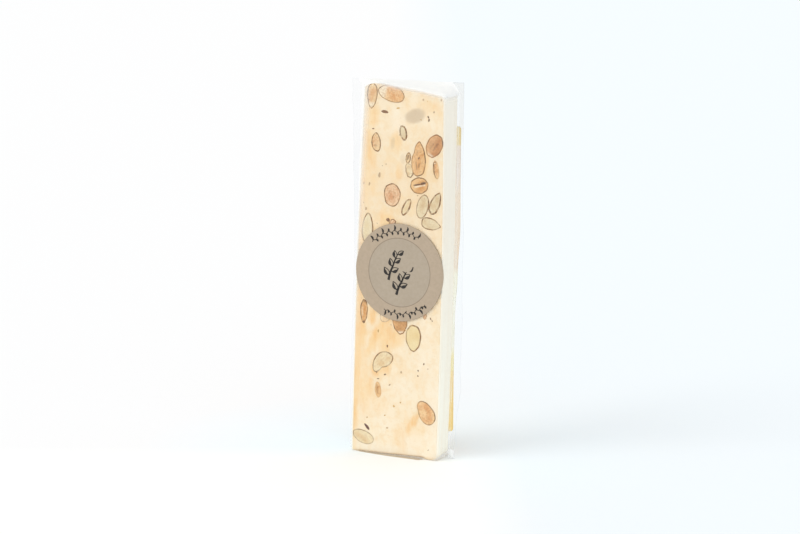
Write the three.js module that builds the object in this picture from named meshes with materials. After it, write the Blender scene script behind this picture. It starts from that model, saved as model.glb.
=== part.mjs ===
// An upright bar of almond nougat sealed in a clear flat sachet, with a round paper seal on the front and a
// tall paper label on the back. Millimetres, +Z up, the front faces -Y, the wafer sides face -X and +X.
// The origin is the middle of the base, on the surface that the bar stands on.

import * as THREE from 'three';

// The bar inside, which gives the sachet its form. It was cut by hand: it narrows and leans a little, and its
// wafer sides swell at mid height.
const barWidth = 40;
const barTopWidth = 36.5;
const barBulge = 0.75;
const barDepth = 9.2;
const barTopDepth = 11.3;
const barFront = -5.2; // y of the front cut face at the base
const leanRight = 3.65;
const leanBack = 2;
const leanHeight = 150; // the height that the top width, top depth and leans are given at

// The cut top: a slope down to the right from a peak, and a rounded corner to the left of it.
const peak = { x: -8, height: 152.3, slope: 0.117, leftX: -13.5, leftDrop: 0.9 };

// The sachet: film drawn tight over the bar, a fin of slack film at each side and a fold along the top.
const filmGap = 0.4;
const edgeRadius = 1.1;
const finThickness = 0.5;
const leftFin = {
  baseX: -22.9,
  topX: -22.8,
  bow: 1.2, // inward at mid height
  depthShare: 0.45,
  rootShare: 0.5,
  ripple: 0.35,
  rippleLength: 41,
};
const rightFin = { baseX: 22.5, topX: 24.6, bow: 0.6, rootWidth: 0.5 };
const foldHeight = 153.2;
const shoulderShare = 0.45;

// The foot: the bottom seam, folded flat under the bar, which stands out a little in front and behind.
const foot = { leftHeight: 0.3, rightHeight: 0.6, frontReach: 1.6, rearReach: 0.8, ledge: 0.1 };

// The paper pieces
const seal = { diameter: 40, thickness: 0.25, x: 2.3, z: 76.3 };
const label = { width: 41, height: 125, thickness: 0.2, corner: 1.5, bottom: 10.5, rightX: 22.1, tilt: 0.97 };
const paperGap = 0.05;

// How finely the sachet is drawn
const levels = 30;
const cornerSteps = 3;
const faceSteps = 8;
const sideSteps = 3;

const { lerp, degToRad, clamp } = THREE.MathUtils;

// A parabola that is 0 at the base, 1 at mid height and 0 again at the top.
function bowAt(rise) {
  return 4 * rise * (1 - rise);
}

// The bar's four sides at a height: x of the wafer sides, y of the cut faces.
function barSides(z) {
  const rise = z / leanHeight;
  const halfWidth = lerp(barWidth, barTopWidth, rise) / 2 + barBulge * bowAt(rise);
  const front = barFront + leanBack * rise;
  return {
    left: leanRight * rise - halfWidth,
    right: leanRight * rise + halfWidth,
    front,
    rear: front + lerp(barDepth, barTopDepth, rise),
  };
}

// A quarter circle of the sachet's rounded edge, with both ends.
function edgeArc(centreX, centreY, startDegrees) {
  return Array.from({ length: cornerSteps + 1 }, (_, step) => {
    const angle = degToRad(startDegrees + (90 * step) / cornerSteps);
    return new THREE.Vector2(
      centreX + edgeRadius * Math.cos(angle),
      centreY + edgeRadius * Math.sin(angle),
    );
  });
}

// Points between two ends, without the ends.
function between(start, end, steps) {
  return Array.from({ length: steps - 1 }, (_, step) => start.clone().lerp(end, (step + 1) / steps));
}

// The sachet's level outline, counter-clockwise from above, as a front chain and a rear chain that run from
// fin tip to fin tip. At the foot, frontReach and rearReach push the front and the rear out.
function outline(z, frontReach, rearReach) {
  const bar = barSides(z);
  const rise = z / leanHeight;
  const left = bar.left - filmGap;
  const right = bar.right + filmGap;
  const front = bar.front - filmGap - frontReach;
  const rear = bar.rear + filmGap;

  const leftTip = lerp(leftFin.baseX, leftFin.topX, rise) + leftFin.bow * bowAt(rise);
  const leftRoot = lerp(left, leftTip, leftFin.rootShare);
  const leftDepth = lerp(bar.front, bar.rear, leftFin.depthShare)
    + leftFin.ripple * Math.sin((2 * Math.PI * z) / leftFin.rippleLength);
  const rightTip = lerp(rightFin.baseX, rightFin.topX, rise) + rightFin.bow * bowAt(rise);
  const rightFront = rear - finThickness;

  const frontLeft = edgeArc(left + edgeRadius, front + edgeRadius, 180);
  const frontRight = edgeArc(right - edgeRadius, front + edgeRadius, 270);
  const finRoot = new THREE.Vector2(right, rightFront - finThickness);
  const rearRight = new THREE.Vector2(right - edgeRadius, rear + rearReach);
  const rearLeft = edgeArc(left + edgeRadius, rear - edgeRadius + rearReach, 90);

  const frontChain = [
    new THREE.Vector2(leftTip, leftDepth - finThickness / 2),
    new THREE.Vector2(leftRoot, leftDepth - finThickness / 2),
    ...frontLeft,
    ...between(frontLeft.at(-1), frontRight[0], faceSteps),
    ...frontRight,
    ...between(frontRight.at(-1), finRoot, sideSteps),
    finRoot,
    new THREE.Vector2(right + rightFin.rootWidth, rightFront),
    new THREE.Vector2(rightTip, rightFront),
  ];
  const rearChain = [
    new THREE.Vector2(rightTip, rear),
    new THREE.Vector2(right, rear),
    rearRight,
    ...between(rearRight, rearLeft[0], faceSteps),
    ...rearLeft,
    new THREE.Vector2(leftRoot, leftDepth + finThickness / 2),
    new THREE.Vector2(leftTip, leftDepth + finThickness / 2),
  ];
  return { frontChain, rearChain };
}

// The share of the bar's width that an x lies at, from the left side to the right.
function acrossShare(x) {
  return clamp(x / barWidth + 0.5, 0, 1);
}

// The height of the bar's cut top, which the film is drawn level from at both ends.
function barTop(x) {
  const past = clamp(x, peak.leftX, barWidth / 2) - peak.x;
  const drop = peak.leftDrop * Math.min(past / (peak.leftX - peak.x), 1) ** 3;
  return past < 0 ? peak.height - drop : peak.height - peak.slope * past;
}

// One ring of the sachet: the outline at a height that may change across the width.
function ring(heightAt, frontReach = 0, rearReach = 0) {
  const flat = outline(heightAt(0), frontReach, rearReach);
  return [...flat.frontChain, ...flat.rearChain].map((point, index) => {
    const z = heightAt(point.x);
    const { frontChain, rearChain } = outline(z, frontReach, rearReach);
    const moved = [...frontChain, ...rearChain][index];
    return new THREE.Vector3(moved.x, moved.y, z);
  });
}

// The fold along the top: the two sheets lie together on a line between the tips of the fins.
function foldRing(below) {
  const { frontChain } = outline(foldHeight, 0, 0);
  const leftTip = frontChain[0];
  const rightTip = frontChain.at(-1);
  const frontCount = frontChain.length;
  const rearCount = below.length - frontCount;
  return below.map((_, index) => {
    const onFront = index < frontCount;
    const share = onFront ? index / (frontCount - 1) : 1 - (index - frontCount) / (rearCount - 1);
    const point = leftTip.clone().lerp(rightTip, share);
    return new THREE.Vector3(point.x, point.y + (onFront ? 0 : finThickness), foldHeight);
  });
}

// Joins rings of equal length into one closed body with a flat cap at each end.
function closedLoft(rings) {
  const count = rings[0].length;
  const index = [];
  for (let level = 0; level < rings.length - 1; level++) {
    for (let i = 0; i < count; i++) {
      const next = (i + 1) % count;
      const low = level * count;
      const high = low + count;
      index.push(low + i, low + next, high + next, low + i, high + next, high + i);
    }
  }
  const top = (rings.length - 1) * count;
  const flat = (points) => points.map((point) => new THREE.Vector2(point.x, point.y));
  const capOf = (points) => THREE.ShapeUtils.triangulateShape(flat(points), []);
  for (const [a, b, c] of capOf(rings[0])) index.push(a, c, b);
  for (const [a, b, c] of capOf(rings.at(-1))) index.push(top + a, top + b, top + c);
  const geometry = new THREE.BufferGeometry().setFromPoints(rings.flat());
  geometry.setIndex(index);
  geometry.computeVertexNormals();
  return geometry;
}

function sachetGeometry() {
  const footTop = (x) => lerp(foot.leftHeight, foot.rightHeight, acrossShare(x));
  const bodyBase = (x) => footTop(x) + foot.ledge;
  const rings = [() => 0, footTop].map((heightAt) => ring(heightAt, foot.frontReach, foot.rearReach));
  for (let level = 0; level <= levels; level++) {
    rings.push(ring((x) => lerp(bodyBase(x), barTop(x) + filmGap, level / levels)));
  }
  const fold = foldRing(rings.at(-1));
  rings.push(rings.at(-1).map((point, i) => point.clone().lerp(fold[i], shoulderShare)), fold);
  return closedLoft(rings);
}

// A disc whose flat faces look along -Y and +Y.
function sealGeometry() {
  return new THREE.CylinderGeometry(seal.diameter / 2, seal.diameter / 2, seal.thickness, 96);
}

// A rectangle with rounded corners, its lower right corner at the origin, thickened along +Y.
function labelGeometry() {
  const { width, height, corner } = label;
  const shape = new THREE.Shape();
  shape.moveTo(-width + corner, 0);
  shape.lineTo(-corner, 0);
  shape.absarc(-corner, corner, corner, -Math.PI / 2, 0);
  shape.lineTo(0, height - corner);
  shape.absarc(-corner, height - corner, corner, 0, Math.PI / 2);
  shape.lineTo(-width + corner, height);
  shape.absarc(-width + corner, height - corner, corner, Math.PI / 2, Math.PI);
  shape.lineTo(-width, corner);
  shape.absarc(-width + corner, corner, corner, Math.PI, 1.5 * Math.PI);
  const extrusion = { depth: label.thickness, bevelEnabled: false, curveSegments: 6 };
  const plate = new THREE.ExtrudeGeometry(shape, extrusion);
  return plate.rotateX(Math.PI / 2).translate(0, label.thickness, 0);
}

function paperMaterial(color, roughness) {
  return new THREE.MeshStandardMaterial({ color, roughness, metalness: 0 });
}

const filmMaterial = new THREE.MeshStandardMaterial({
  color: 0xf4ead6,
  roughness: 0.2,
  metalness: 0,
  transparent: true,
  opacity: 0.45,
});
const sachet = new THREE.Mesh(sachetGeometry(), filmMaterial);
sachet.name = 'bag';

// The seal lies on the front film, which leans back.
const frontSeal = new THREE.Mesh(sealGeometry(), paperMaterial(0xb7a896, 0.75));
frontSeal.name = 'front_sticker';
frontSeal.rotation.x = -Math.atan(leanBack / leanHeight);
frontSeal.position.set(seal.x, barSides(seal.z).front - filmGap - paperGap - seal.thickness / 2, seal.z);

// The label stands on the rear film and leans with it, turned a little in its own plane.
const rearLean = Math.atan((leanBack + barTopDepth - barDepth) / leanHeight);
const backLabel = new THREE.Mesh(labelGeometry(), paperMaterial(0xe9b45a, 0.7));
backLabel.name = 'back_label';
backLabel.rotation.set(-rearLean, degToRad(label.tilt), 0);
backLabel.position.set(label.rightX, barSides(label.bottom).rear + filmGap + paperGap, label.bottom);

const packedBar = new THREE.Group();
packedBar.add(sachet, frontSeal, backLabel);

export default packedBar;
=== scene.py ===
# Almond nougat bar between two wafer sheets, standing on end in a clear film sachet with a seal and a label.
import math

import bpy
import numpy as np
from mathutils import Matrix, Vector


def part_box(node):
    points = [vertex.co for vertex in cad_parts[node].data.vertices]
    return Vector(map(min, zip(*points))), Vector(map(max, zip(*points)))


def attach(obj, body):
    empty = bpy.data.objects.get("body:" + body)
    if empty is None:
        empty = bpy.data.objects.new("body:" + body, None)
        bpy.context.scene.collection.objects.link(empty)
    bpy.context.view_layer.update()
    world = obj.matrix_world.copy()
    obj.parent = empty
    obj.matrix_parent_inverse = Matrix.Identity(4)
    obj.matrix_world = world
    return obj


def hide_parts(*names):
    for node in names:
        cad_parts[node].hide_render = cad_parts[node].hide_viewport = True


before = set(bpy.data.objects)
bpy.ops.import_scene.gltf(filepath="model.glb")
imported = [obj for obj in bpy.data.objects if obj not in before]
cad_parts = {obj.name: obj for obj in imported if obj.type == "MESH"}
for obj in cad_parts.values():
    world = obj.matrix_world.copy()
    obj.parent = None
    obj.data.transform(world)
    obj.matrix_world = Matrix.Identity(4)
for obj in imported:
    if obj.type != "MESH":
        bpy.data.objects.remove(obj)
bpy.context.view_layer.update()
mm = 0.001

# view, light and floor

camera = {
    "azimuth": 28.4,
    "distance": 1.1,
    "height": 0.2846,
    "aimHeight": 0.0776,
    "lens": 124.2,
    "sensor": 36,
    "farClip": 50,
}

studio = {
    "sky": "#F8FBFB",
    "skyStrength": 0.985,
    "floorSize": 24.0,
    # painted light and shade on the sweep: a cooler, darker painted shade to the right of the bar, a cool
    # painted shadow tint close round it, and a warmer painted pool of light in front of it
    "floorLeft": "#F7F5F6",
    "floorShadeRight": "#F0F4F8",
    "floorShadeBeside": "#F0F7FC",
    "floorLitFront": "#FCFBFA",
    # metres between which each of them comes in
    "rightFrom": (-0.01, 0.06),
    "besideFrom": (0.11, 0.03),
    "frontFrom": (-0.01, 0.015),
    "frontEnds": (0.05, 0.015),
    # the way from the bar towards each lamp, its spread in degrees (how soft its shadow is), strength, colour
    "lamps": {
        "key": ((-0.50, -0.66, 0.62), 32.0, 0.60, "#FFFBF4"),
        "fill": ((0.80, -0.30, 0.42), 70.0, 0.20, "#FFFDF8"),
    },
}


def linear(hexColour):  # sRGB hex to linear RGBA
    parts = [int(hexColour[i:i + 2], 16) / 255 for i in (1, 3, 5)]
    return [((c + 0.055) / 1.055) ** 2.4 if c > 0.04045 else c / 12.92 for c in parts] + [1.0]


def addNode(tree, kind, inputs=None, output=0, **settings):
    # a node with its settings, its sockets filled by value or by link; one of its outputs comes back
    made = tree.nodes.new("ShaderNode" + kind)
    for name, value in settings.items():
        setattr(made, name, value)
    for name, value in (inputs or {}).items():
        if isinstance(value, bpy.types.NodeSocket):
            tree.links.new(value, made.inputs[name])
        else:
            made.inputs[name].default_value = value
    return made.outputs[output] if made.outputs else made


def newMaterial(name):
    material = bpy.data.materials.new(name)
    material.use_nodes = True
    material.node_tree.nodes.clear()
    return material, material.node_tree


def addCamera():
    angle = math.radians(camera["azimuth"])
    made = bpy.data.objects.new("camera", bpy.data.cameras.new("camera"))
    made.location = (
        camera["distance"] * math.sin(angle),
        -camera["distance"] * math.cos(angle),
        camera["height"],
    )
    aim = made.location.copy()
    aim.x, aim.y, aim.z = -aim.x, -aim.y, camera["aimHeight"] - camera["height"]
    made.rotation_euler = aim.to_track_quat("-Z", "Y").to_euler()
    made.data.lens = camera["lens"]
    made.data.sensor_width = camera["sensor"]
    made.data.clip_end = camera["farClip"]
    bpy.context.scene.collection.objects.link(made)
    bpy.context.scene.camera = made


def addStudio():
    scene = bpy.context.scene
    scene.view_settings.view_transform = "Standard"
    world = bpy.data.worlds.new("studio")
    world.use_nodes = True
    scene.world = world
    tree = world.node_tree
    tree.nodes.clear()
    background = addNode(tree, "Background", {
        "Color": linear(studio["sky"]), "Strength": studio["skyStrength"],
    })
    addNode(tree, "OutputWorld", {"Surface": background})

    half = studio["floorSize"] / 2
    mesh = bpy.data.meshes.new("floor")
    corners = [(-half, -half, 0), (half, -half, 0), (half, half, 0), (-half, half, 0)]
    mesh.from_pydata(corners, [], [(0, 1, 2, 3)])
    floor = bpy.data.objects.new("floor", mesh)
    material, tree = newMaterial("matt white sweep")
    place = addNode(tree, "TexCoord", output="Object")
    side = math.radians(camera["azimuth"])
    rightwards, forwards = (math.cos(side), math.sin(side), 0), (math.sin(side), -math.cos(side), 0)
    across = addNode(tree, "VectorMath", {0: place, 1: rightwards}, "Value", operation="DOT_PRODUCT")
    nearer = addNode(tree, "VectorMath", {0: place, 1: forwards}, "Value", operation="DOT_PRODUCT")
    reach = addNode(tree, "VectorMath", {0: place}, "Value", operation="LENGTH")
    right, beside, front, leftward = (
        addNode(tree, "MapRange", {"Value": value, "From Min": studio[key][0], "From Max": studio[key][1]})
        for value, key in (
            (across, "rightFrom"), (reach, "besideFrom"), (nearer, "frontFrom"), (across, "frontEnds"),
        )
    )
    front = addNode(tree, "Math", {0: front, 1: leftward}, operation="MULTIPLY")
    colour = linear(studio["floorLeft"])
    # painted shade to the right of the bar and round it, painted light in front of it
    for share, tone in ((right, "floorShadeRight"), (beside, "floorShadeBeside"), (front, "floorLitFront")):
        colour = addNode(tree, "Mix", {0: share, 6: colour, 7: linear(studio[tone])}, 2, data_type="RGBA")
    surface = addNode(tree, "BsdfDiffuse", {"Color": colour})
    addNode(tree, "OutputMaterial", {"Surface": surface})
    mesh.materials.append(material)
    scene.collection.objects.link(floor)

    for name, (way, spread, strength, tint) in studio["lamps"].items():
        lamp = bpy.data.lights.new(name, "SUN")
        lamp.angle = math.radians(spread)
        lamp.energy = strength
        lamp.color = linear(tint)[:3]
        hung = bpy.data.objects.new(name, lamp)
        hung.location = way
        hung.rotation_euler = hung.location.to_track_quat("Z", "Y").to_euler()
        scene.collection.objects.link(hung)


addCamera()
addStudio()
print("camera, light and floor")

# the bar's form, in millimetres

bar = {
    "width": 40.0,
    "topWidth": 36.5,
    "bulge": 0.75,  # of each wafer side at mid height
    "depth": 9.2,
    "topDepth": 11.3,
    "forward": 0.6,  # of its middle at the base
    "leanRight": 3.65,
    "leanBack": 2.0,
    "leanHeight": 150.0,  # the height that the top width, top depth and leans are given at
    "peakX": -8.0,
    "peakHeight": 152.3,
    "rightX": 21.0,
    "slope": 0.117,
    "arch": 0.45,
    "leftDrop": 2.4,
    "leftRun": 7.6,  # from the peak, over which it drops
    "baseLeft": 0.05,
    "baseRight": 0.85,
    "footX": 13.4,  # from here the base comes down again to the right foot
    "footWidth": 2.4,
    "footHeight": 0.02,
    "rearRise": 1.3,  # of the right foot, from the front to the rear
    "edgeRadius": 0.35,  # of the cut faces' upper and lower ends
    "waferThickness": 0.6,
    "rightFootRadius": 2.6,
    # the cut faces' relief: height, longest and shortest wave, number of waves and their slant
    "relief": [(0.07, 34, 14, 14, None), (0.035, 7, 3.2, 20, None), (0.02, 3.4, 2.0, 12, 12)],
    "rearSeed": 50,  # added to a seed for the rear face
}


def barSides(z):
    # x of the two wafer sides, straight tapers plus a parabola of bulge, and y of the two flat cut faces
    rise = z / bar["leanHeight"]
    halfWidth = (bar["width"] + (bar["topWidth"] - bar["width"]) * rise) / 2
    halfWidth = halfWidth + bar["bulge"] * 4 * rise * (1 - rise)
    front = -bar["depth"] / 2 - bar["forward"] + bar["leanBack"] * rise
    rear = front + bar["depth"] + (bar["topDepth"] - bar["depth"]) * rise
    return bar["leanRight"] * rise - halfWidth, bar["leanRight"] * rise + halfWidth, front, rear


def barTop(x):  # a slope down to the right plus half a sine arch, and a cubic drop at the left corner
    run = x - bar["peakX"]
    span = bar["rightX"] - bar["peakX"]
    arch = bar["arch"] * np.sin(np.pi * np.clip(run / span, 0, 1))
    drop = bar["leftDrop"] * (np.maximum(-run, 0) / bar["leftRun"]) ** 3
    return bar["peakHeight"] - bar["slope"] * np.maximum(run, 0) + arch - drop


def barBase(x):  # a rise of power 1.4 from left to right, then a smooth step down to the right foot
    start = -bar["width"] / 2
    share = np.clip((x - start) / (bar["footX"] - start), 0, 1)
    step = np.clip((x - bar["footX"]) / bar["footWidth"], 0, 1)
    line = bar["baseLeft"] + (bar["baseRight"] - bar["baseLeft"]) * share ** 1.4
    return line + (bar["footHeight"] - line) * step * step * (3 - 2 * step)


def waves(x, z, seed, longest, shortest, count=14, slant=None):
    # the sum of sine waves of random way, length and phase
    rng = np.random.default_rng(seed)
    total = np.zeros(np.broadcast(x, z).shape)
    for _ in range(count):
        way = rng.uniform(0, 2 * np.pi) if slant is None else math.radians(slant) + rng.normal(0, 0.12)
        length = np.exp(rng.uniform(math.log(shortest), math.log(longest)))
        phase = rng.uniform(0, 2 * np.pi)
        total += np.sin(2 * np.pi * (x * math.cos(way) + z * math.sin(way)) / length + phase)
    return total / math.sqrt(count / 2) / 2


def faceRelief(x, z, seed):  # height of a cut face over its plane: broad swells, small ones, knife drag
    return sum(
        height * waves(x, z, seed + i, longest, shortest, count, slant)
        for i, (height, longest, shortest, count, slant) in enumerate(bar["relief"])
    )


def roundedBy(reach, radius):  # radius less the height of a quarter circle, at this distance from the edge
    missing = np.clip(radius - reach, 0, radius)
    return radius - np.sqrt(radius ** 2 - missing ** 2)


def ramp(value, start, span):  # 0 up to start, then straight up to 1 over span
    return np.clip((value - start) / span, 0, 1)


def bell(value, middle, width):  # exp(-d^2), d the distance from middle over width
    return np.exp(-((value - middle) / width) ** 2)


def edgeDrop(x, z):  # how far a cut face falls back at its rounded upper and lower ends
    return roundedBy(np.minimum(barTop(x) - z, z - barBase(x)), bar["edgeRadius"])


# making meshes

def ringQuads(rows, around):
    low = np.arange((rows - 1) * around).reshape(rows - 1, around)
    turned = np.roll(low, -1, 1)
    return np.stack([low, turned, turned + around, low + around], -1).reshape(-1, 4)


def ringSolid(rings, values=None):  # rings [rows, around, 3] joined by quads, a fan to a pole at each end
    rows, around = rings.shape[:2]
    ring = np.arange(around)
    pole = rows * around
    upper = (rows - 1) * around
    bottom = np.stack([np.full(around, pole), np.roll(ring, -1), ring], -1)
    top = np.stack([np.full(around, pole + 1), upper + ring, upper + np.roll(ring, -1)], -1)
    points = np.concatenate([rings.reshape(-1, 3), rings[[0, -1]].mean(1)])
    kept = {}
    for name, value in (values or {}).items():
        flat = value.reshape(pole, -1)
        kept[name] = np.concatenate([flat, value[[0, -1]].mean(1).reshape(2, -1)])
    fans = np.concatenate([bottom, top])
    return facingOut({"points": points, "quads": ringQuads(rows, around), "fans": fans, "values": kept})


def facingOut(part):  # turns every face over if the signed volume of the closed part is negative
    points, quads = part["points"], part["quads"]
    corners = np.concatenate([quads[:, [0, 1, 2]], quads[:, [0, 2, 3]], part["fans"]])
    a, b, c = points[corners[:, 0]], points[corners[:, 1]], points[corners[:, 2]]
    if np.einsum("ij,ij->", a, np.cross(b, c)) < 0:
        part["quads"] = quads[:, ::-1]
        part["fans"] = part["fans"][:, ::-1]
    return part


def addPiece(name, parts, material, node, smooth=True):  # parts in millimetres, joined as one mesh
    points = np.concatenate([part["points"] for part in parts]) * mm
    starts = np.cumsum([0] + [len(part["points"]) for part in parts])
    faces = []
    for part, start in zip(parts, starts):
        faces += (part["quads"] + start).tolist() + (part["fans"] + start).tolist()
    mesh = bpy.data.meshes.new(name)
    mesh.from_pydata(points.tolist(), [], faces)
    for key in parts[0]["values"]:
        data = np.concatenate([part["values"][key] for part in parts])
        if data.shape[1] == 1:
            mesh.attributes.new(key, "FLOAT", "POINT").data.foreach_set("value", data.ravel())
        else:
            opaque = np.concatenate([data, np.ones((len(data), 1))], 1)
            mesh.attributes.new(key, "FLOAT_COLOR", "POINT").data.foreach_set("color", opaque.ravel())
    if smooth:
        mesh.shade_smooth()
    mesh.materials.append(material)
    mesh.update()
    made = bpy.data.objects.new(name, mesh)
    bpy.context.scene.collection.objects.link(made)
    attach(made, "root")
    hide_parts(node)
    print(name, len(mesh.polygons), "faces")
    return made


# nougat body

nougat = {
    "jointRadius": 0.2,  # of the corners beside the wafers
    "facePoints": 96,
    "sidePoints": 24,
    "cornerPoints": 3,
    "rows": 340,
    "capRings": 9,
    "endRadius": 0.35,
    "endAngles": [24, 46, 68, 88],
    "footRadius": 0.5,
    "footAngles": [0, 18, 36, 54, 72],
    "footDepth": 0.3,  # of the same rounding, back from the cut face
    "endWaves": (0.03, 1.4, 9, 3),  # height, stretch, longest and shortest
    "seed": 11,
    "patchSeed": 61,
    # x, z, width, height, lean in degrees, strength: where the boiled sugar and honey show darker
    "smears": [
        (-17.6, 36, 4.0, 66, 2, 1.0), (-16, 58, 3.4, 34, 4, 0.7), (-7.7, 50, 5, 24, 30, 1.0),
        (-4.0, 55, 3.4, 13, 34, 0.8), (-13.5, 26, 7, 22, 0, 0.7), (-13.0, 117, 5, 30, 2, 0.55),
        (-10, 139, 6, 9, 0, 0.8), (-0.6, 130.0, 3.4, 9, 12, 0.9), (-12, 112, 8, 10, 0, 0.5),
        (8.8, 14.8, 3.4, 10, 36, 0.9), (3, 6.5, 14, 5, 80, 0.25), (1, 49, 7, 9, 20, 0.9),
        (7, 10.5, 4, 4, 0, 0.3), (-4, 92, 14, 14, 0, 0.5), (-15, 80, 5, 26, 0, 0.4),
        (13.2, 122, 3.0, 13, 10, 1.0), (-7, 21, 10, 8, 0, 0.3), (-16.5, 100, 3.4, 18, 0, 0.7),
        (15, 143, 9, 7, 0, 0.35), (-4.3, 46, 7, 20, 8, 1.0), (-7.5, 36.5, 8, 9, 0, 1.0),
        (-3.5, 37.5, 5, 9, 20, 0.9), (-15, 51, 4, 14, 0, 1.0), (-10.5, 124, 4, 18, 0, 0.6),
        (-10.5, 58, 5, 8, 0, 0.9), (-4, 97, 7, 8, 0, 1.0), (1.5, 117, 4, 8, 0, 0.6),
        (0.5, 129, 5, 8, 0, 0.7), (-11.5, 127, 5, 16, 0, 0.8), (-2, 113, 11, 22, 0, 0.15),
    ],
    # the same for where it is whiter; the full-width band at z 2.6 is painted light, the lit strip over the
    # foot
    "paler": [
        (14, 76, 7, 44, 0, 0.8), (13.5, 44, 9, 30, 4, 0.5), (0.8, 137.5, 9, 12, 0, 0.9),
        (16.5, 22, 5, 40, 0, 0.7), (-16.2, 116, 2.6, 52, 2.3, 1.0), (14.5, 138, 7, 9, 0, 0.5),
        (17, 7, 6, 12, 0, 0.8), (0, 2.6, 36, 3.4, 0, 1.0), (9, 7, 13, 8, 0, 0.9),
        (-17, 12, 4, 8, 0, 0.4), (4, 29, 12, 10, 20, 0.5), (-4, 15, 10, 8, 0, 0.5),
        (-12.5, 19, 7, 10, 0, 0.6), (19.2, 14, 7, 46, 0, 1.0),
    ],
    # nuts just under the surface, which show as blurred grey shapes
    "sunken": [
        (8.6, 140.2, 9.4, 5.6, -16, 1.0), (-1.4, 128.6, 1.8, 5, 6, 0.5), (3.2, 122.5, 2.2, 4, 0, 0.3),
        (-13.6, 101.5, 1.4, 1.6, 0, 0.4), (1.2, 41, 5, 3, 30, 0.1),
    ],
    # painted shade: z and how far the body is darkened there, the foot left lighter as if lit by the floor
    "heightShade": [
        (0, 0.0), (16, 0.35), (60, 0.5), (88, 0.85), (112, 0.9), (128, 0.75), (138, 0.55), (152, 0.6),
    ],
    # painted shade along the foot, where the lower edge turns under into shadow: its height, the x and span
    # that it starts over and that it thins over, and how far it thins
    "footShadeHeight": 0.45,
    "footShadeStart": (-19, 4),
    "footShadeEnd": (12.5, 2.5),
    "footShadeThins": 0.7,
    # lumps of colour: size in mm, detail, roughness, stretch upwards, and the values they fade in between
    "lumps": {
        "blotch": (9, 4, 0.6, 0.6, 0.42, 0.64),
        "streak": (4, 3, 0.6, 0.25, 0.42, 0.68),
        "cloud": (5, 3, 0.55, 0.8, 0.46, 0.66),
        "mottle": (2.4, 2, 0.5, 1, 0.44, 0.66),
        "grain": (0.9, 2, 0.6, 1, 0.6, 0.76),
        "pits": (2.6, 3, 0.6, 1, None, None),  # for relief alone
    },
    "lumpTurn": (0, 0.25, 0),
    # the body's tones where lit low down, and in painted shade higher up
    "litLow": {"body": "#FAEBD0", "honeyed": "#F8DDB2", "white": "#FBF0DA"},
    "shadedHigh": {"body": "#F1DBBA", "honeyed": "#EFCC9C", "white": "#F5E3C6"},
    # laid over the body one after another: where, how strong, colour
    "layers": [
        ("blotch", 0.5, "honeyed"), ("cloud", 0.4, "white"), ("mottle", 0.35, "#F0D09C"),
        ("paler", 0.55, "#FAEEDA"), ("smear", 0.6, "#F6CD8C"), ("smearStreak", 0.6, "#EFB86E"),
        ("sunken", 0.93, "#D5BFA1"), ("footShade", 0.8, "#C09C72"), ("grain", 0.22, "#D9B88A"),
    ],
}


def softPatches(x, z, patches, wander=1.0, power=4):
    # exp(-d^power) for each, d the distance of a wandering point from its middle, over its half size
    x = x + wander * 0.5 * waves(x, z, nougat["patchSeed"], 9, 3)
    z = z + wander * 0.7 * waves(x, z, nougat["patchSeed"] + 1, 12, 4)
    total = np.zeros_like(x)
    for px, pz, width, height, lean, strength in patches:
        s, c = math.sin(math.radians(lean)), math.cos(math.radians(lean))
        across = ((x - px) * c - (z - pz) * s) / (width / 2)
        along = ((x - px) * s + (z - pz) * c) / (height / 2)
        total = np.maximum(total, strength * np.exp(-(across ** 2 + along ** 2) ** (power / 2)))
    return total


def nougatPerimeter():
    # shares across and deep, and the outward way, round a rectangle with quarter-circle corners
    face, side, corner = nougat["facePoints"], nougat["sidePoints"], nougat["cornerPoints"]
    ends = [(0, 0), (1, 0), (1, 1), (0, 1), (0, 0)]
    pieces = []
    for turn, count in enumerate((face, side, face, side)):  # front, right, rear, left
        start, stop = ends[turn:turn + 2]
        run = np.linspace(0, 1, count, endpoint=False)
        way = math.radians(-90 + 90 * turn)
        flat = np.full(count, 1.0)
        pieces.append(np.stack([
            start[0] + (stop[0] - start[0]) * run, start[1] + (stop[1] - start[1]) * run,
            math.cos(way) * flat, math.sin(way) * flat,
        ], -1))
        bend = way + np.linspace(0, np.pi / 2, corner, endpoint=False)
        flat = np.full(corner, 1.0)
        pieces.append(np.stack([stop[0] * flat, stop[1] * flat, np.cos(bend), np.sin(bend)], -1))
    return np.concatenate(pieces).T


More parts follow.
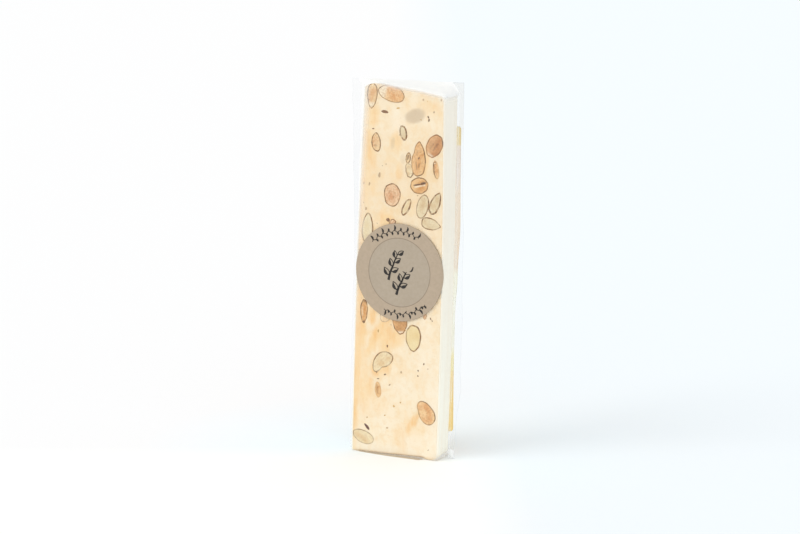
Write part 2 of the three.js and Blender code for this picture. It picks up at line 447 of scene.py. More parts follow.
def nougatPart():
    kx, ky, wayX, wayY = nougatPerimeter()
    radius = nougat["jointRadius"]

    def outline(z, inset, deepInset):  # the rounded rectangle at each point's height, drawn in on all sides
        left, right, front, rear = barSides(z)
        left = left + bar["waferThickness"] + inset
        right = right - bar["waferThickness"] - inset
        front = front + deepInset
        rear = rear - deepInset
        x = left + radius + (right - left - 2 * radius) * kx + radius * wayX
        y = front + radius + (rear - front - 2 * radius) * ky + radius * wayY
        return x, y

    nominalX = outline(np.full_like(kx, 2.0), 0, 0)[0]
    topX = outline(np.full_like(kx, bar["leanHeight"]), 0, 0)[0]
    atRight = np.clip(kx * 6 - 5, 0, 1)  # rises from 0 to 1 over the last sixth of the width
    footRadius = nougat["footRadius"] + (bar["rightFootRadius"] - nougat["footRadius"]) * atRight
    base, top = barBase(nominalX) + bar["rearRise"] * ky * atRight, barTop(topX)
    rings, insets = [], []
    for angle in np.radians(nougat["footAngles"][::-1]):  # the rounded foot
        rings.append(base + footRadius * (1 - math.sin(angle)))
        insets.append(footRadius * (1 - math.cos(angle)))
    bodyLow = rings[-1]
    bodyHigh = top - nougat["endRadius"]
    for share in np.linspace(0, 1, nougat["rows"])[1:]:
        rings.append(bodyLow + (bodyHigh - bodyLow) * share)
        insets.append(np.zeros_like(base))
    for angle in np.radians(nougat["endAngles"]):  # the rounded top
        rings.append(bodyHigh + nougat["endRadius"] * math.sin(angle))
        insets.append(np.full_like(base, nougat["endRadius"] * (1 - math.cos(angle))))
    z, insets = np.array(rings), np.array(insets)
    x, y = outline(z, insets, np.minimum(insets, nougat["footDepth"] * insets / footRadius))

    def cap(row, height):  # rings of an end row's outline, shrinking to its middle along the end's line
        shares = np.linspace(1, 0.04, nougat["capRings"])[1:, None]
        capX = x[row].mean() + (x[row] - x[row].mean()) * shares
        capY = y[row].mean() + (y[row] - y[row].mean()) * shares
        return capX, capY, height(capX) + (z[row] - height(x[row]))

    low, high = cap(0, barBase), cap(-1, barTop)
    x, y, z = (np.concatenate([a[::-1], body, b]) for a, body, b in zip(low, (x, y, z), high))

    isFace = np.abs(wayY) * np.ones_like(z)
    inBody = np.zeros_like(z)
    inBody[nougat["capRings"]:-nougat["capRings"]] = 1
    seed = nougat["seed"]
    swell = np.where(wayY < 0, faceRelief(x, z, seed), faceRelief(x, z, seed + bar["rearSeed"]))
    y = y + np.sign(wayY) * swell * isFace * inBody
    height, stretch, longest, shortest = nougat["endWaves"]
    ends = height * waves(x * stretch, y * stretch, seed + 7, longest, shortest)
    z = z + ends * (1 - inBody)

    onFront = (wayY < 0) * np.ones_like(z)
    mirrored = np.where(onFront > 0, x, -x)
    # painted shade along the foot
    footShade = bell(np.maximum(z - barBase(x), 0), 0, nougat["footShadeHeight"]) * ramp(x, *nougat["footShadeStart"])
    values = {
        "smear": softPatches(mirrored, z, nougat["smears"]),
        "paler": softPatches(mirrored, z, nougat["paler"]),
        "sunken": softPatches(x, z, nougat["sunken"], 0.3, 8) * onFront,
        "heightShade": np.interp(z, *np.transpose(nougat["heightShade"])),
        "footShade": footShade * (1 - nougat["footShadeThins"] * ramp(x, *nougat["footShadeEnd"])),
    }
    return ringSolid(np.stack([x, y, z], -1), values)


def nougatMaterial():
    # whipped egg-white nougat, knife cut: cream with honeyed blotches, a soft satin sheen and a little depth;
    # painted shade darkens it with height and along the foot
    material, tree = newMaterial("knife-cut soft nougat")
    place = addNode(tree, "TexCoord", output="Object")
    names = ("smear", "paler", "sunken", "heightShade", "footShade")
    where = {name: addNode(tree, "Attribute", output="Fac", attribute_name=name) for name in names}
    lumps = {}
    for name, (size, detail, roughness, stretch, low, high) in nougat["lumps"].items():
        scaled = addNode(tree, "Mapping", {
            "Vector": place, "Scale": (1, 1, stretch), "Rotation": nougat["lumpTurn"],
        })
        lumps[name] = addNode(tree, "TexNoise", {
            "Vector": scaled, "Scale": 1 / (size * mm), "Detail": detail, "Roughness": roughness,
        })
        if low is not None:
            where[name] = addNode(tree, "MapRange", {
                "Value": lumps[name], "From Min": low, "From Max": high,
            }, interpolation_type="SMOOTHSTEP")
    where["smearStreak"] = addNode(tree, "Math", {
        0: where["smear"], 1: where["streak"],
    }, operation="MULTIPLY")
    tones = {}
    # painted shade: each tone goes from its lit colour at the foot to its shaded colour with height
    for name, litLow in nougat["litLow"].items():
        tones[name] = addNode(tree, "Mix", {
            0: where["heightShade"], 6: linear(litLow), 7: linear(nougat["shadedHigh"][name]),
        }, 2, data_type="RGBA")
    colour = tones["body"]
    for name, strength, tone in nougat["layers"]:
        share = addNode(tree, "Math", {0: where[name], 1: strength}, operation="MULTIPLY")
        tone = tones[tone] if tone in tones else linear(tone)
        colour = addNode(tree, "Mix", {0: share, 6: colour, 7: tone}, 2, data_type="RGBA")
    fine = addNode(tree, "Bump", {"Height": lumps["grain"], "Strength": 0.25, "Distance": 0.12 * mm})
    coarse = addNode(tree, "Bump", {
        "Height": lumps["pits"], "Strength": 0.3, "Distance": 0.3 * mm, "Normal": fine,
    })
    surface = addNode(tree, "BsdfPrincipled", {
        "Base Color": colour, "Roughness": 0.5, "Normal": coarse, "IOR": 1.45, "Specular IOR Level": 0.35,
    })
    addNode(tree, "OutputMaterial", {"Surface": surface})
    return material


addPiece("nougat_body", [nougatPart()], nougatMaterial(), "bag")

# almonds

almonds = {
    "around": 72,
    "kernelRings": 18,
    "rim": 0.5,  # width of the skin
    "proud": 0.09,  # height of the kernel over the cut face
    "proudSpread": (0.7, 1.5),
    "skinRise": 0.05,
    "sideAngles": [14, 40, 64, 84],  # of the rings down the half ellipsoid in the nougat, in degrees
    "depth": 0.42,  # how deep a nut sits, as a share of its width
    "unevenness": 0.028,
    "narrowing": 0.34,  # at a full point
    "lumps": 0.05,  # height of the kernel's own unevenness
    "fromWafer": 0.05,
    "fromTop": 0.12,
    "seed": 23,
    # the scattered nuts of the rear face: how many, how far their middles keep from the wafers, and the least
    # and the most of each measure
    "rear": {
        "count": 30, "clearance": 2.0, "z": (6, 146), "width": (2.4, 7.4), "stretch": (1.25, 1.9),
        "lean": (-90, 90), "point": (-0.7, 0.7), "rim": (0.6, 1), "grain": (0.1, 0.8),
    },
    "dark": "#5B3C26",
    "cream": "#F4E6CC",
    "tones": {  # kernel colour at its edge and at its heart
        "tan": ("#EECFA0", "#E4BA8A"), "orange": ("#EFC894", "#E3AE76"), "cream": ("#EEDBB4", "#E6CB9E"),
        "pale": ("#ECDCBA", "#E5D2AC"), "yellow": ("#EED9A8", "#E9CF98"), "brown": ("#D09863", "#B67845"),
        "toast": ("#DFAB70", "#C68F52"), "amber": ("#E8BC84", "#D79D5C"), "rosy": ("#EBC69E", "#DBA87C"),
        "grey": ("#E5D3AE", "#DAC198"), "faint": ("#F3DCB8", "#F0D2A8"),
    },
    "flecks": "#BA8654",
    "skin": ("#956632", "#664620"),
    # a paler end or side: its colour, how strong it is and how sharply it starts
    "pale": ("#F4E6CC", 0.85, 5),
    "paleSide": ("#EEC390", 0.5, 1.6),
    # x, z, width, length, lean, point (+ upper end, - lower end), tone, rim strength, grain, and what sets it
    # apart: bow (sideways bend), darkest (where its skin is darkest, in degrees), fade (how much the skin
    # thins away from there), thick (of the skin, against the usual), pale and paleSide (which end or side is
    # paler, and from where), dents (degrees, depth, spread), and marks (from, to, width, depth, darkness)
    "front": [
        (-10.9, 147.2, 4.8, 10.4, 5, -0.6, "tan", 1.0, 0.7, {"darkest": 200, "pale": (-1, 0.42),
         "marks": [(-1.6, -2.2, -2.0, -1.2, 0.55, 0.03, 0.9)]}),
        (-2.1, 148.6, 6.8, 12.1, -77, 0.1, "orange", 0.95, 1.0,
         {"darkest": 50, "pale": (1, 0.3), "thick": 0.8}),
        (3.4, 133.0, 3.4, 6.3, -12, -0.25, "grey", 1.0, 0.1, {"darkest": 0, "thick": 1.5}),
        (-9.0, 128.6, 4.4, 7.6, -3, 0.3, "tan", 1.0, 1.0, {"darkest": 230,
         "marks": [(-0.9, -1.2, 0.4, -1.6, 0.7, 0.03, 0.3)]}),
        (10.4, 122.8, 6.4, 14.2, 3, 0.4, "amber", 1.0, 0.9, {"darkest": 350, "fade": 0.5,
         "dents": [(155, 0.12, 14)], "paleSide": (-1, -0.35),
         "marks": [(-0.1, 0.2, 0.3, 0.9, 0.5, 0.04, 0.9), (0.5, -1.6, 0.2, -3.2, 0.5, 0.04, 0.5),
                   (-1.1, -1.0, -0.5, -4.2, 0.4, 0.04, 0.45), (-0.9, 2.0, -0.6, 3.4, 0.4, 0.03, 0.3)]}),
        (5.7, 123.2, 2.4, 4.4, 8, 0.3, "tan", 1.0, 0.9, {"marks": [(-0.3, -0.9, 0.1, 1.2, 0.7, 0.05, 0.7)]}),
        (6.2, 118.2, 3.4, 6.2, -14, 0.3, "cream", 0.8, 0.9, {"darkest": 240, "fade": 0.6}),
        (17.5, 128.7, 7.0, 10.0, 30, 0.0, "brown", 0.95, 0.6, {"darkest": 70, "fade": 0.6, "pale": (-1, 0.66),
         "paleSide": (-1, -0.3),
         "marks": [(0.4, -1.8, 0.9, 1.8, 0.7, 0.04, 0.4), (-1.1, -2.2, -0.7, 0.9, 0.6, 0.04, 0.25)]}),
        (18.3, 119.3, 2.6, 7.8, -8, 0.3, "orange", 0.8, 0.8, {"darkest": 180, "fade": 0.85,
         "marks": [(-0.8, -1.6, -0.7, 2.6, 0.5, 0.04, 0.45), (-0.2, 2.2, 0.4, 3.4, 0.6, 0.04, 0.5)]}),
        (10.8, 112.3, 6.6, 8.4, 84, 0.0, "amber", 0.95, 0.5, {"darkest": 270,
         "marks": [(-0.17, -2.6, -0.6, 0.8, 0.5, 0.06, 1.0), (-0.6, 0.8, -1.0, 2.9, 0.85, 0.06, 1.0),
                   (0.5, -2.3, 0.1, 1.4, 0.5, 0.0, -0.8), (0.1, 1.4, -0.2, 2.8, 0.5, 0.0, -0.7)]}),
        (-1.5, 107.6, 7.7, 9.4, 2, -0.1, "rosy", 1.0, 1.0, {"darkest": 150,
         "dents": [(135, -0.05, 14), (222, -0.05, 14)],
         "marks": [(-1.4, 0.8, -1.0, 1.6, 0.4, 0.03, 0.4), (0.4, -1.2, 0.9, -0.4, 0.4, 0.03, 0.35)]}),
        (5.0, 103.2, 3.3, 7.7, 27, 0.1, "cream", 1.0, 0.2, {"darkest": 265, "thick": 1.5}),
        (12.4, 104.0, 5.4, 10.1, 16, 0.15, "grey", 0.9, 0.5, {"darkest": 20, "fade": 0.45}),
        (18.1, 105.6, 4.5, 9.8, 24, 0.6, "grey", 1.0, 0.5, {"darkest": 20, "thick": 1.4,
         "marks": [(-0.9, -4.0, -0.2, -4.2, 0.5, 0.05, 0.9), (1.6, -2.4, 1.7, -2.0, 0.4, 0.05, 0.8)]}),
        (16.2, 97.1, 4.9, 8.9, -80, -0.75, "grey", 1.0, 0.4, {"darkest": 10}),
        (-12.8, 93.2, 5.3, 12.4, 3, 0.3, "pale", 0.95, 0.2, {"darkest": 30, "thick": 1.15}),
        (-1.3, 96.5, 2.7, 3.2, 70, 0.2, "rosy", 1.0, 1.0, {"darkest": 90}),
        (-14.3, 58.7, 3.5, 10.0, 2, -0.5, "amber", 1.0, 1.0, {"darkest": 190,
         "marks": [(-0.9, 4.1, 0.9, 4.3, 0.7, 0.04, 0.55), (-0.3, -4.5, 0.3, -4.0, 0.7, 0.04, 0.9),
                   (-0.6, -2.0, -0.7, 2.0, 0.5, 0.02, -0.35)]}),
        (2.4, 55.5, 6.8, 9.6, -4, -0.55, "toast", 0.9, 0.8, {"darkest": 200, "pale": (-1, 0.62)}),
        (8.6, 49.6, 7.0, 11.3, 0, -0.7, "yellow", 1.0, 0.15, {"darkest": 340, "thick": 1.25}),
        (-4.6, 57.4, 4.6, 5.0, 40, -0.3, "faint", 0.4, 0.5),
        (13.8, 59.3, 1.8, 2.6, 10, 0.0, "rosy", 0.6, 0.5),
        (-5.7, 38.6, 6.6, 11.4, 50, -0.2, "cream", 0.95, 0.6, {"bow": 0.14, "darkest": 190,
         "dents": [(338, 0.25, 22)]}),
        (-7.6, 26.8, 2.9, 6.6, -5, 0.2, "amber", 0.12, 1.0,
         {"marks": [(-0.3, -1.4, -0.4, 2.2, 0.8, 0.02, 0.3)]}),
        (14.7, 19.4, 7.1, 10.8, -36, 0.1, "orange", 0.9, 0.8, {"darkest": 350, "thick": 0.8,
         "dents": [(260, 0.05, 16)]}),
        (-14.4, 6.3, 5.6, 9.9, -74, 0.05, "cream", 0.8, 0.4, {"darkest": 60, "fade": 0.6, "thick": 0.75}),
    ],
}


def towards(colour, other, share):  # a colour moved towards another, by a share at each point
    return colour + (np.array(linear(other)[:3]) - colour) * share[..., None]


def stripe(across, along, start, end, width):  # 1 on the line between two points, 0 at its width away
    wayU, wayV = end[0] - start[0], end[1] - start[1]
    share = ((across - start[0]) * wayU + (along - start[1]) * wayV) / (wayU ** 2 + wayV ** 2)
    share = np.clip(share, 0, 1)
    away = np.hypot(across - start[0] - share * wayU, along - start[1] - share * wayV)
    return np.clip(1.3 - 1.3 * away / (width * (1 - 0.5 * np.abs(2 * share - 1) ** 3)), 0, 1)


def turnedTo(x0, z0, lean, across, along):  # a leaning piece's own across and along, on the cut face
    s, c = math.sin(math.radians(lean)), math.cos(math.radians(lean))
    return x0 + across * c + along * s, z0 - across * s + along * c


def almondOutline(nut, own, angle, rng):
    # across and along of an ellipse narrowed towards its pointed end, with dents and a few sine waves
    width, length, point = nut[2], nut[3], nut[5]
    c, s = np.cos(angle), np.sin(angle)
    uneven = 1 + sum(
        rng.normal(0, almonds["unevenness"] / k ** 0.5) * np.sin(k * angle + rng.uniform(0, 6.28))
        for k in (2, 3, 5, 8)
    )
    for degrees, depth, spread in own.get("dents", []):
        away = (np.degrees(angle) - degrees + 180) % 360 - 180
        uneven = uneven * (1 - depth * bell(away, 0, spread))
    narrow = (1 - almonds["narrowing"] * point * s) * np.abs(c) ** (0.3 * np.maximum(point * s, 0))
    return 0.5 * width * c * narrow * uneven, 0.5 * length * s * uneven


def kernelColour(nut, own, across, along, toHeart, flesh, cut, rng):
    # from the tone's edge colour to its heart colour by a broad and a fine noise, paler at one end or side,
    # darker where it is marked
    width, length, tone, grain = nut[2], nut[3], nut[6], nut[8]
    edgeColour, heartColour = (np.array(linear(colour)[:3]) for colour in almonds["tones"][tone])
    broad = waves(across, along, int(rng.integers(1000)), 9, 3.5)
    fleck = waves(across, along, int(rng.integers(1000)), 1.9, 0.8)
    mix = np.clip(0.2 + 0.6 * toHeart + 0.75 * broad + 0.5 * grain * fleck, -0.2, 1.35)[..., None]
    kernel = edgeColour + (heartColour - edgeColour) * mix
    for key, reach in (("pale", 2 * along / length), ("paleSide", 2 * across / width)):
        if key in own:
            end, start = own[key]
            tint, most, sharpness = almonds[key]
            kernel = towards(kernel, tint, most * ramp(end * reach, start, 1 / sharpness) * flesh)
    kernel = towards(kernel, almonds["dark"], np.maximum(cut, 0))
    return np.clip(towards(kernel, almonds["cream"], np.maximum(-cut, 0)), 0, 1)


def almondPart(nut, rng, rear=False):  # a cut kernel inside a thin raised skin, over a half ellipsoid
    x0, z0, width, length, lean, _, _, rim, grain = nut[:9]
    own = nut[9] if len(nut) > 9 else {}
    angle = np.linspace(0, 2 * np.pi, almonds["around"], endpoint=False)
    acrossRim, alongRim = almondOutline(nut, own, angle, rng)

    skinWidth = almonds["rim"] * own.get("thick", 1)
    inX = 1 - skinWidth / (width / 2)
    inZ = 1 - skinWidth / (length / 2)
    proud = almonds["proud"] * rng.uniform(*almonds["proudSpread"])
    raised = almonds["skinRise"]
    rows = []  # shares of the outline across and along, height over the face, skin
    for share in np.linspace(0.06, 1, almonds["kernelRings"]):
        rows.append((inX * share, inZ * share, proud * (1.3 - 0.6 * share ** 2), 0.0))
    for share, rise in ((0.15, proud), (0.5, proud + raised), (1, raised)):
        rows.append((inX + share * (1 - inX), inZ + share * (1 - inZ), rise, 1.0))
    for turn in np.radians(almonds["sideAngles"]):
        rows.append((math.cos(turn), math.cos(turn), -almonds["depth"] * width * math.sin(turn), 1.0))
    shareX, shareZ, height, skin = (np.array(row)[:, None] for row in zip(*rows))
    along = shareZ * alongRim
    across = shareX * acrossRim + own.get("bow", 0) * width * ((along / (length / 2)) ** 2 - 0.4)

    x, z = turnedTo(x0, z0, lean, across, along)
    left, right, front, rearFace = barSides(z)
    edge = bar["waferThickness"] + almonds["fromWafer"]
    x = np.clip(x, left + edge, right - edge)
    z = np.minimum(z, barTop(x) - almonds["fromTop"])
    relief = faceRelief(x, z, nougat["seed"] + bar["rearSeed"] * rear)
    lumps = almonds["lumps"] * waves(across, along, int(rng.integers(1000)), 3.5, 1.1)
    cut = np.zeros_like(x)
    groove = np.zeros_like(x)
    for u0, v0, u1, v1, markWidth, deep, dark in own.get("marks", []):
        line = stripe(across, along, (u0, v0), (u1, v1), markWidth) * (1 - skin * 0.5)
        groove = np.maximum(groove, deep * line)
        cut = np.where(np.abs(dark * line) > np.abs(cut), dark * line, cut)
    out = height + relief - edgeDrop(x, z) + lumps * (1 - skin) - groove
    y = rearFace + out if rear else front - out

    kernel = kernelColour(nut, own, across, along, 1 - (shareX / inX) ** 2, 1 - skin, cut, rng)
    brokenSeed = int(rng.integers(1000))
    broken = 0.95 + 0.4 * waves(np.cos(angle) * 3, np.sin(angle) * 3, brokenSeed, 4, 1.1)
    facing = 1 - own.get("fade", 0.3) * (0.5 - 0.5 * np.cos(angle - math.radians(own.get("darkest", 90))))
    values = {
        "kernel": kernel,
        "skin": skin * rim * np.clip(broken, 0.45, 1.2) * facing * np.ones_like(x),
        "grain": np.full_like(x, grain),
    }
    return ringSolid(np.stack([x, y, z], -1), values)


def almondMaterial():
    # a sliced almond: matt oily kernel with a fine grain inside a thin rough brown skin
    material, tree = newMaterial("sliced almond in its skin")
    place = addNode(tree, "TexCoord", output="Object")
    kernel = addNode(tree, "Attribute", output="Color", attribute_name="kernel")
    skin = addNode(tree, "Attribute", output="Fac", attribute_name="skin")
    grain = addNode(tree, "Attribute", output="Fac", attribute_name="grain")
    speckle = addNode(tree, "TexNoise", {"Vector": place, "Scale": 1 / (0.8 * mm), "Detail": 3.0})
    marks = addNode(tree, "MapRange", {
        "Value": speckle, "From Min": 0.48, "From Max": 0.64,
    }, interpolation_type="SMOOTHSTEP")
    share = addNode(tree, "Math", {0: marks, 1: grain}, operation="MULTIPLY")
    share = addNode(tree, "Math", {0: share, 1: 0.38}, operation="MULTIPLY")
    smooth, rough = (linear(tone) for tone in almonds["skin"])
    flesh = addNode(tree, "Mix", {0: share, 6: kernel, 7: linear(almonds["flecks"])}, 2, data_type="RGBA")
    hull = addNode(tree, "Mix", {0: marks, 6: smooth, 7: rough}, 2, data_type="RGBA")
    colour = addNode(tree, "Mix", {0: skin, 6: flesh, 7: hull}, 2, data_type="RGBA")
    bump = addNode(tree, "Bump", {"Height": speckle, "Strength": 0.3, "Distance": 0.12 * mm})
    surface = addNode(tree, "BsdfPrincipled", {
        "Base Color": colour, "Roughness": 0.48, "Normal": bump, "IOR": 1.47, "Specular IOR Level": 0.4,
    })
    addNode(tree, "OutputMaterial", {"Surface": surface})
    return material


almondStuff = almondMaterial()
rng = np.random.default_rng(almonds["seed"])
addPiece("almonds_front", [almondPart(nut, rng) for nut in almonds["front"]], almondStuff, "bag")


def scatteredAlmonds(rng):  # random nuts for the rear face, each kept clear of those before it
    rear = almonds["rear"]
    tones = list(almonds["tones"])
    kept = []
    while len(kept) < rear["count"]:
        z = rng.uniform(*rear["z"])
        left, right, _, _ = barSides(z)
        x = rng.uniform(left + rear["clearance"], right - rear["clearance"])
        width = rng.uniform(*rear["width"])
        length = width * rng.uniform(*rear["stretch"])
        if all(math.hypot(x - other[0], z - other[1]) > 0.5 * (length + other[3]) for other in kept):
            lean, point = rng.uniform(*rear["lean"]), rng.uniform(*rear["point"])
            tone = tones[int(rng.integers(len(tones)))]
            rim, grain = rng.uniform(*rear["rim"]), rng.uniform(*rear["grain"])
            kept.append((x, z, width, length, lean, point, tone, rim, grain))
    return kept


rearNuts = scatteredAlmonds(rng)
addPiece("almonds_rear", [almondPart(nut, rng, True) for nut in rearNuts], almondStuff, "bag")

# crumbs: flecks of skin and specks of nut in the cut face

crumbs = {
    "around": 12,
    "rings": [75, 50, 20, -10, -50, -75],  # degrees up from the rim
    "unevenness": (0.12, 0.08),
    "tones": {"bark": "#7E5A3A", "ochre": "#C9A15E", "plum": "#6A4336", "dust": "#BFA27E"},
    # x, z, width, length, lean, tone
    "front": [
        (-5.1, 141.1, 1.5, 3.3, -82, "bark"), (1.0, 142.9, 0.7, 1.8, 85, "ochre"),
        (14.6, 140.1, 0.6, 1.3, -30, "bark"), (14.9, 138.9, 0.7, 1.6, 15, "bark"),
        (-12.7, 10.6, 1.4, 3.3, -42, "plum"), (-3.4, 97.3, 1.6, 1.9, 30, "bark"),
        (-10.4, 133.9, 0.5, 1.3, 80, "bark"), (-7.4, 115.3, 1.2, 2.3, 12, "dust"),
        (12.3, 146.9, 0.9, 1.1, 0, "dust"), (20.4, 147.2, 0.8, 1.0, 0, "dust"),
        (17.1, 142.2, 0.7, 0.9, 0, "dust"), (-14.6, 111.5, 0.7, 1.0, 0, "dust"),
        (-12.0, 111.4, 0.8, 1.6, 20, "dust"), (-13.6, 101.1, 1.0, 1.3, 20, "dust"),
        (-11.1, 96.4, 0.6, 0.7, 0, "dust"), (16.4, 58.5, 0.5, 1.4, -30, "bark"),
        (17.1, 57.7, 0.4, 1.0, -30, "bark"), (-7.6, 51.2, 0.7, 1.3, 10, "ochre"),
        (-3.4, 45.3, 0.8, 1.3, 15, "bark"), (13.5, 39.6, 0.7, 1.0, 10, "bark"),
        (10.9, 36.6, 0.6, 0.9, 0, "bark"), (10.8, 34.4, 0.6, 0.8, 0, "bark"),
        (3.1, 35.1, 0.8, 1.2, 20, "dust"), (-4.4, 33.4, 0.7, 1.1, 70, "bark"),
        (-7.6, 31.3, 0.5, 1.2, 85, "bark"), (-0.2, 20.6, 0.9, 1.1, 0, "ochre"),
        (-3.3, 11.2, 0.7, 1.3, 85, "dust"), (2.8, 22.5, 0.7, 0.8, 0, "ochre"),
        (-2.2, 29.3, 0.7, 1.2, 60, "dust"), (-8.2, 34.0, 0.5, 1.1, 20, "bark"),
    ],
    # scattered specks: how many, how far they keep from the wafers, the least and the most of each measure,
    # and the tones of the two faces
    "specks": {
        "count": 26, "clearance": 2.0, "z": (4, 148), "size": (0.3, 0.6), "stretch": (1, 2), "lean": (0, 180),
        "frontTones": ["dust", "ochre"], "rearTones": ["bark", "dust", "ochre", "dust"],
    },
    "seed": 5,
}


def crumbPart(crumb, rng, rear=False):  # a flattened ellipsoid of uneven outline, its top just over the face
    x0, z0, width, length, lean, tone = crumb
    angle = np.linspace(0, 2 * np.pi, crumbs["around"], endpoint=False)
    uneven = 1 + sum(
        most * np.sin(k * angle + rng.uniform(0, 6.28)) for k, most in enumerate(crumbs["unevenness"], 2)
    )
    rise = np.radians(crumbs["rings"])[:, None]
    across = 0.62 * width * np.cos(angle) * np.cos(rise) * uneven
    along = 0.6 * length * np.sin(angle) * np.cos(rise) * uneven
    x, z = turnedTo(x0, z0, lean, across, along)
    _, _, front, rearFace = barSides(z)
    relief = faceRelief(x, z, nougat["seed"] + bar["rearSeed"] * rear)
    out = width * (0.2 * np.sin(rise) - 0.12) + relief - edgeDrop(x, z)
    y = rearFace + out if rear else front - out
    colour = np.array(linear(crumbs["tones"][tone])[:3]) * rng.uniform(0.85, 1.15)
    return ringSolid(np.stack([x, y, z], -1), {"crumb": np.broadcast_to(colour, x.shape + (3,))})


def scatteredSpecks(rng, count, tones):
    specks = crumbs["specks"]
    kept = []
    for _ in range(count):
        z = rng.uniform(*specks["z"])
        left, right, _, _ = barSides(z)
        size = rng.uniform(*specks["size"])
        tone = tones[int(rng.integers(len(tones)))]
        x = rng.uniform(left + specks["clearance"], right - specks["clearance"])
        length = size * rng.uniform(*specks["stretch"])
        kept.append((x, z, size, length, rng.uniform(*specks["lean"]), tone))
    return kept


def crumbMaterial():
    # scraps of almond skin and toasted nut: matt, dark against the cream
    material, tree = newMaterial("almond skin flecks")
    colour = addNode(tree, "Attribute", output="Color", attribute_name="crumb")
    surface = addNode(tree, "BsdfPrincipled", {"Base Color": colour, "Roughness": 0.6, "IOR": 1.45})
    addNode(tree, "OutputMaterial", {"Surface": surface})
    return material


rng = np.random.default_rng(crumbs["seed"])
specks = crumbs["specks"]
frontCrumbs = crumbs["front"] + scatteredSpecks(rng, specks["count"], specks["frontTones"])
rearCrumbs = scatteredSpecks(rng, 2 * specks["count"], specks["rearTones"])
crumbParts = [crumbPart(crumb, rng) for crumb in frontCrumbs]
crumbParts += [crumbPart(crumb, rng, True) for crumb in rearCrumbs]
addPiece("crumbs", crumbParts, crumbMaterial(), "bag")

# wafer sheets on the two narrow sides

wafer = {
    "across": 30,
    "cornerRadius": 0.45,
    "endRadius": 0.25,
    "endInset": 0.1,
    "leftShort": 0.4,  # the left one ends this much lower
    "edgeInset": 0.04,  # from the cut faces
    "footInset": 0.2,  # more at the turned-in foot, as a share of the turn
    "nearRows": [0, 0.05, 0.15, 0.3, 0.5, 0.8, 1.2, 1.7, 2.3],  # heights of the close rows at each end
    "topRows": 5,  # so many of them at the upper end
    "rows": (2.9, 0.9, 220),  # the other rows: how far over the foot and under the top, and how many
    "riseFades": 4,
    "unevenness": 0.06,
    "seed": 31,
}


def waferPart(side):
    # a plate up the side: rows of flat rings, each an outer face with quarter-circle corners and an inner
    # face; the right-hand one turns in at its foot round a larger quarter circle
    share = 0.5 - 0.5 * np.cos(np.pi * np.linspace(0, 1, wafer["across"]))
    ring = np.concatenate([share, share[::-1]])
    outer = np.concatenate([np.ones_like(share), np.zeros_like(share)])
    nominal = barSides(bar["leanHeight"])[0 if side < 0 else 1] - side * bar["waferThickness"]
    low = barBase(side * bar["width"] / 2) + wafer["endInset"]
    high = barTop(nominal) - wafer["endInset"] - wafer["leftShort"] * (side < 0)
    near = np.array(wafer["nearRows"])
    over, under, many = wafer["rows"]
    middle = np.linspace(low + over, high - under, many)
    level = np.concatenate([low + near, middle, high - near[:wafer["topRows"]][::-1]])[:, None]
    z = level + (side > 0) * bar["rearRise"] * ring * np.exp(-(level - low) / wafer["riseFades"])
    left, right, front, rear = barSides(z)
    seed = wafer["seed"] + side
    toEnd = np.minimum(high - z, z - low) if side < 0 else high - z
    foot = 0 * z if side < 0 else roundedBy(level - low + 0 * ring, bar["rightFootRadius"])
    drop = roundedBy(toEnd, wafer["endRadius"])
    inset, turnedIn = wafer["edgeInset"], wafer["footInset"] * foot
    frontEdge = front + inset + inset * waves(z, 0 * z, seed, 30, 6) + turnedIn
    rearEdge = rear - inset - inset * waves(z, 0 * z, seed + 5, 30, 6) - turnedIn
    y = frontEdge + (rearEdge - frontEdge) * ring
    corner = roundedBy(np.minimum(y - frontEdge, rearEdge - y), wafer["cornerRadius"])
    bulge = wafer["unevenness"] * waves(y * 2, z, seed + 9, 40, 12)
    inner = (left if side < 0 else right) - side * (bar["waferThickness"] + foot)
    x = inner + side * outer * (bar["waferThickness"] + bulge - np.maximum(corner, drop))
    return ringSolid(np.stack([x, y, z], -1))


def waferMaterial():
    # baked starch wafer: thin, matt and white, with faint streaks and a fine tooth, and a painted shade that
    # greys it a little higher up
    material, tree = newMaterial("baked starch wafer")
    place = addNode(tree, "TexCoord", output="Object")
    stretched = addNode(tree, "Mapping", {"Vector": place, "Scale": (1, 1, 0.08)})
    streaks = addNode(tree, "TexNoise", {"Vector": stretched, "Scale": 1 / (2.2 * mm), "Detail": 3.0})
    tooth = addNode(tree, "TexNoise", {"Vector": place, "Scale": 1 / (0.5 * mm), "Detail": 2.0})
    height = addNode(tree, "SeparateXYZ", {"Vector": place}, "Z")
    streak = addNode(tree, "MapRange", {"Value": streaks, "From Min": 0.35, "From Max": 0.65})
    # painted shade: greyer higher up, lighter towards the foot as if lit by the floor
    upper = addNode(tree, "MapRange", {
        "Value": height, "From Min": 25 * mm, "From Max": 100 * mm, "To Max": 0.6,
    })
    colour = linear("#FAF3E2")
    for share, tone in ((streak, "#FEFAEC"), (upper, "#F2E8DA")):
        colour = addNode(tree, "Mix", {0: share, 6: colour, 7: linear(tone)}, 2, data_type="RGBA")
    bump = addNode(tree, "Bump", {"Height": tooth, "Strength": 0.12, "Distance": 0.08 * mm})
    surface = addNode(tree, "BsdfPrincipled", {
        "Base Color": colour, "Roughness": 0.8, "Normal": bump, "IOR": 1.45, "Specular IOR Level": 0.25,
    })
    addNode(tree, "OutputMaterial", {"Surface": surface})
    return material


waferStuff = waferMaterial()
addPiece("wafer_left", [waferPart(-1)], waferStuff, "bag")
addPiece("wafer_right", [waferPart(1)], waferStuff, "bag")

# film sachet

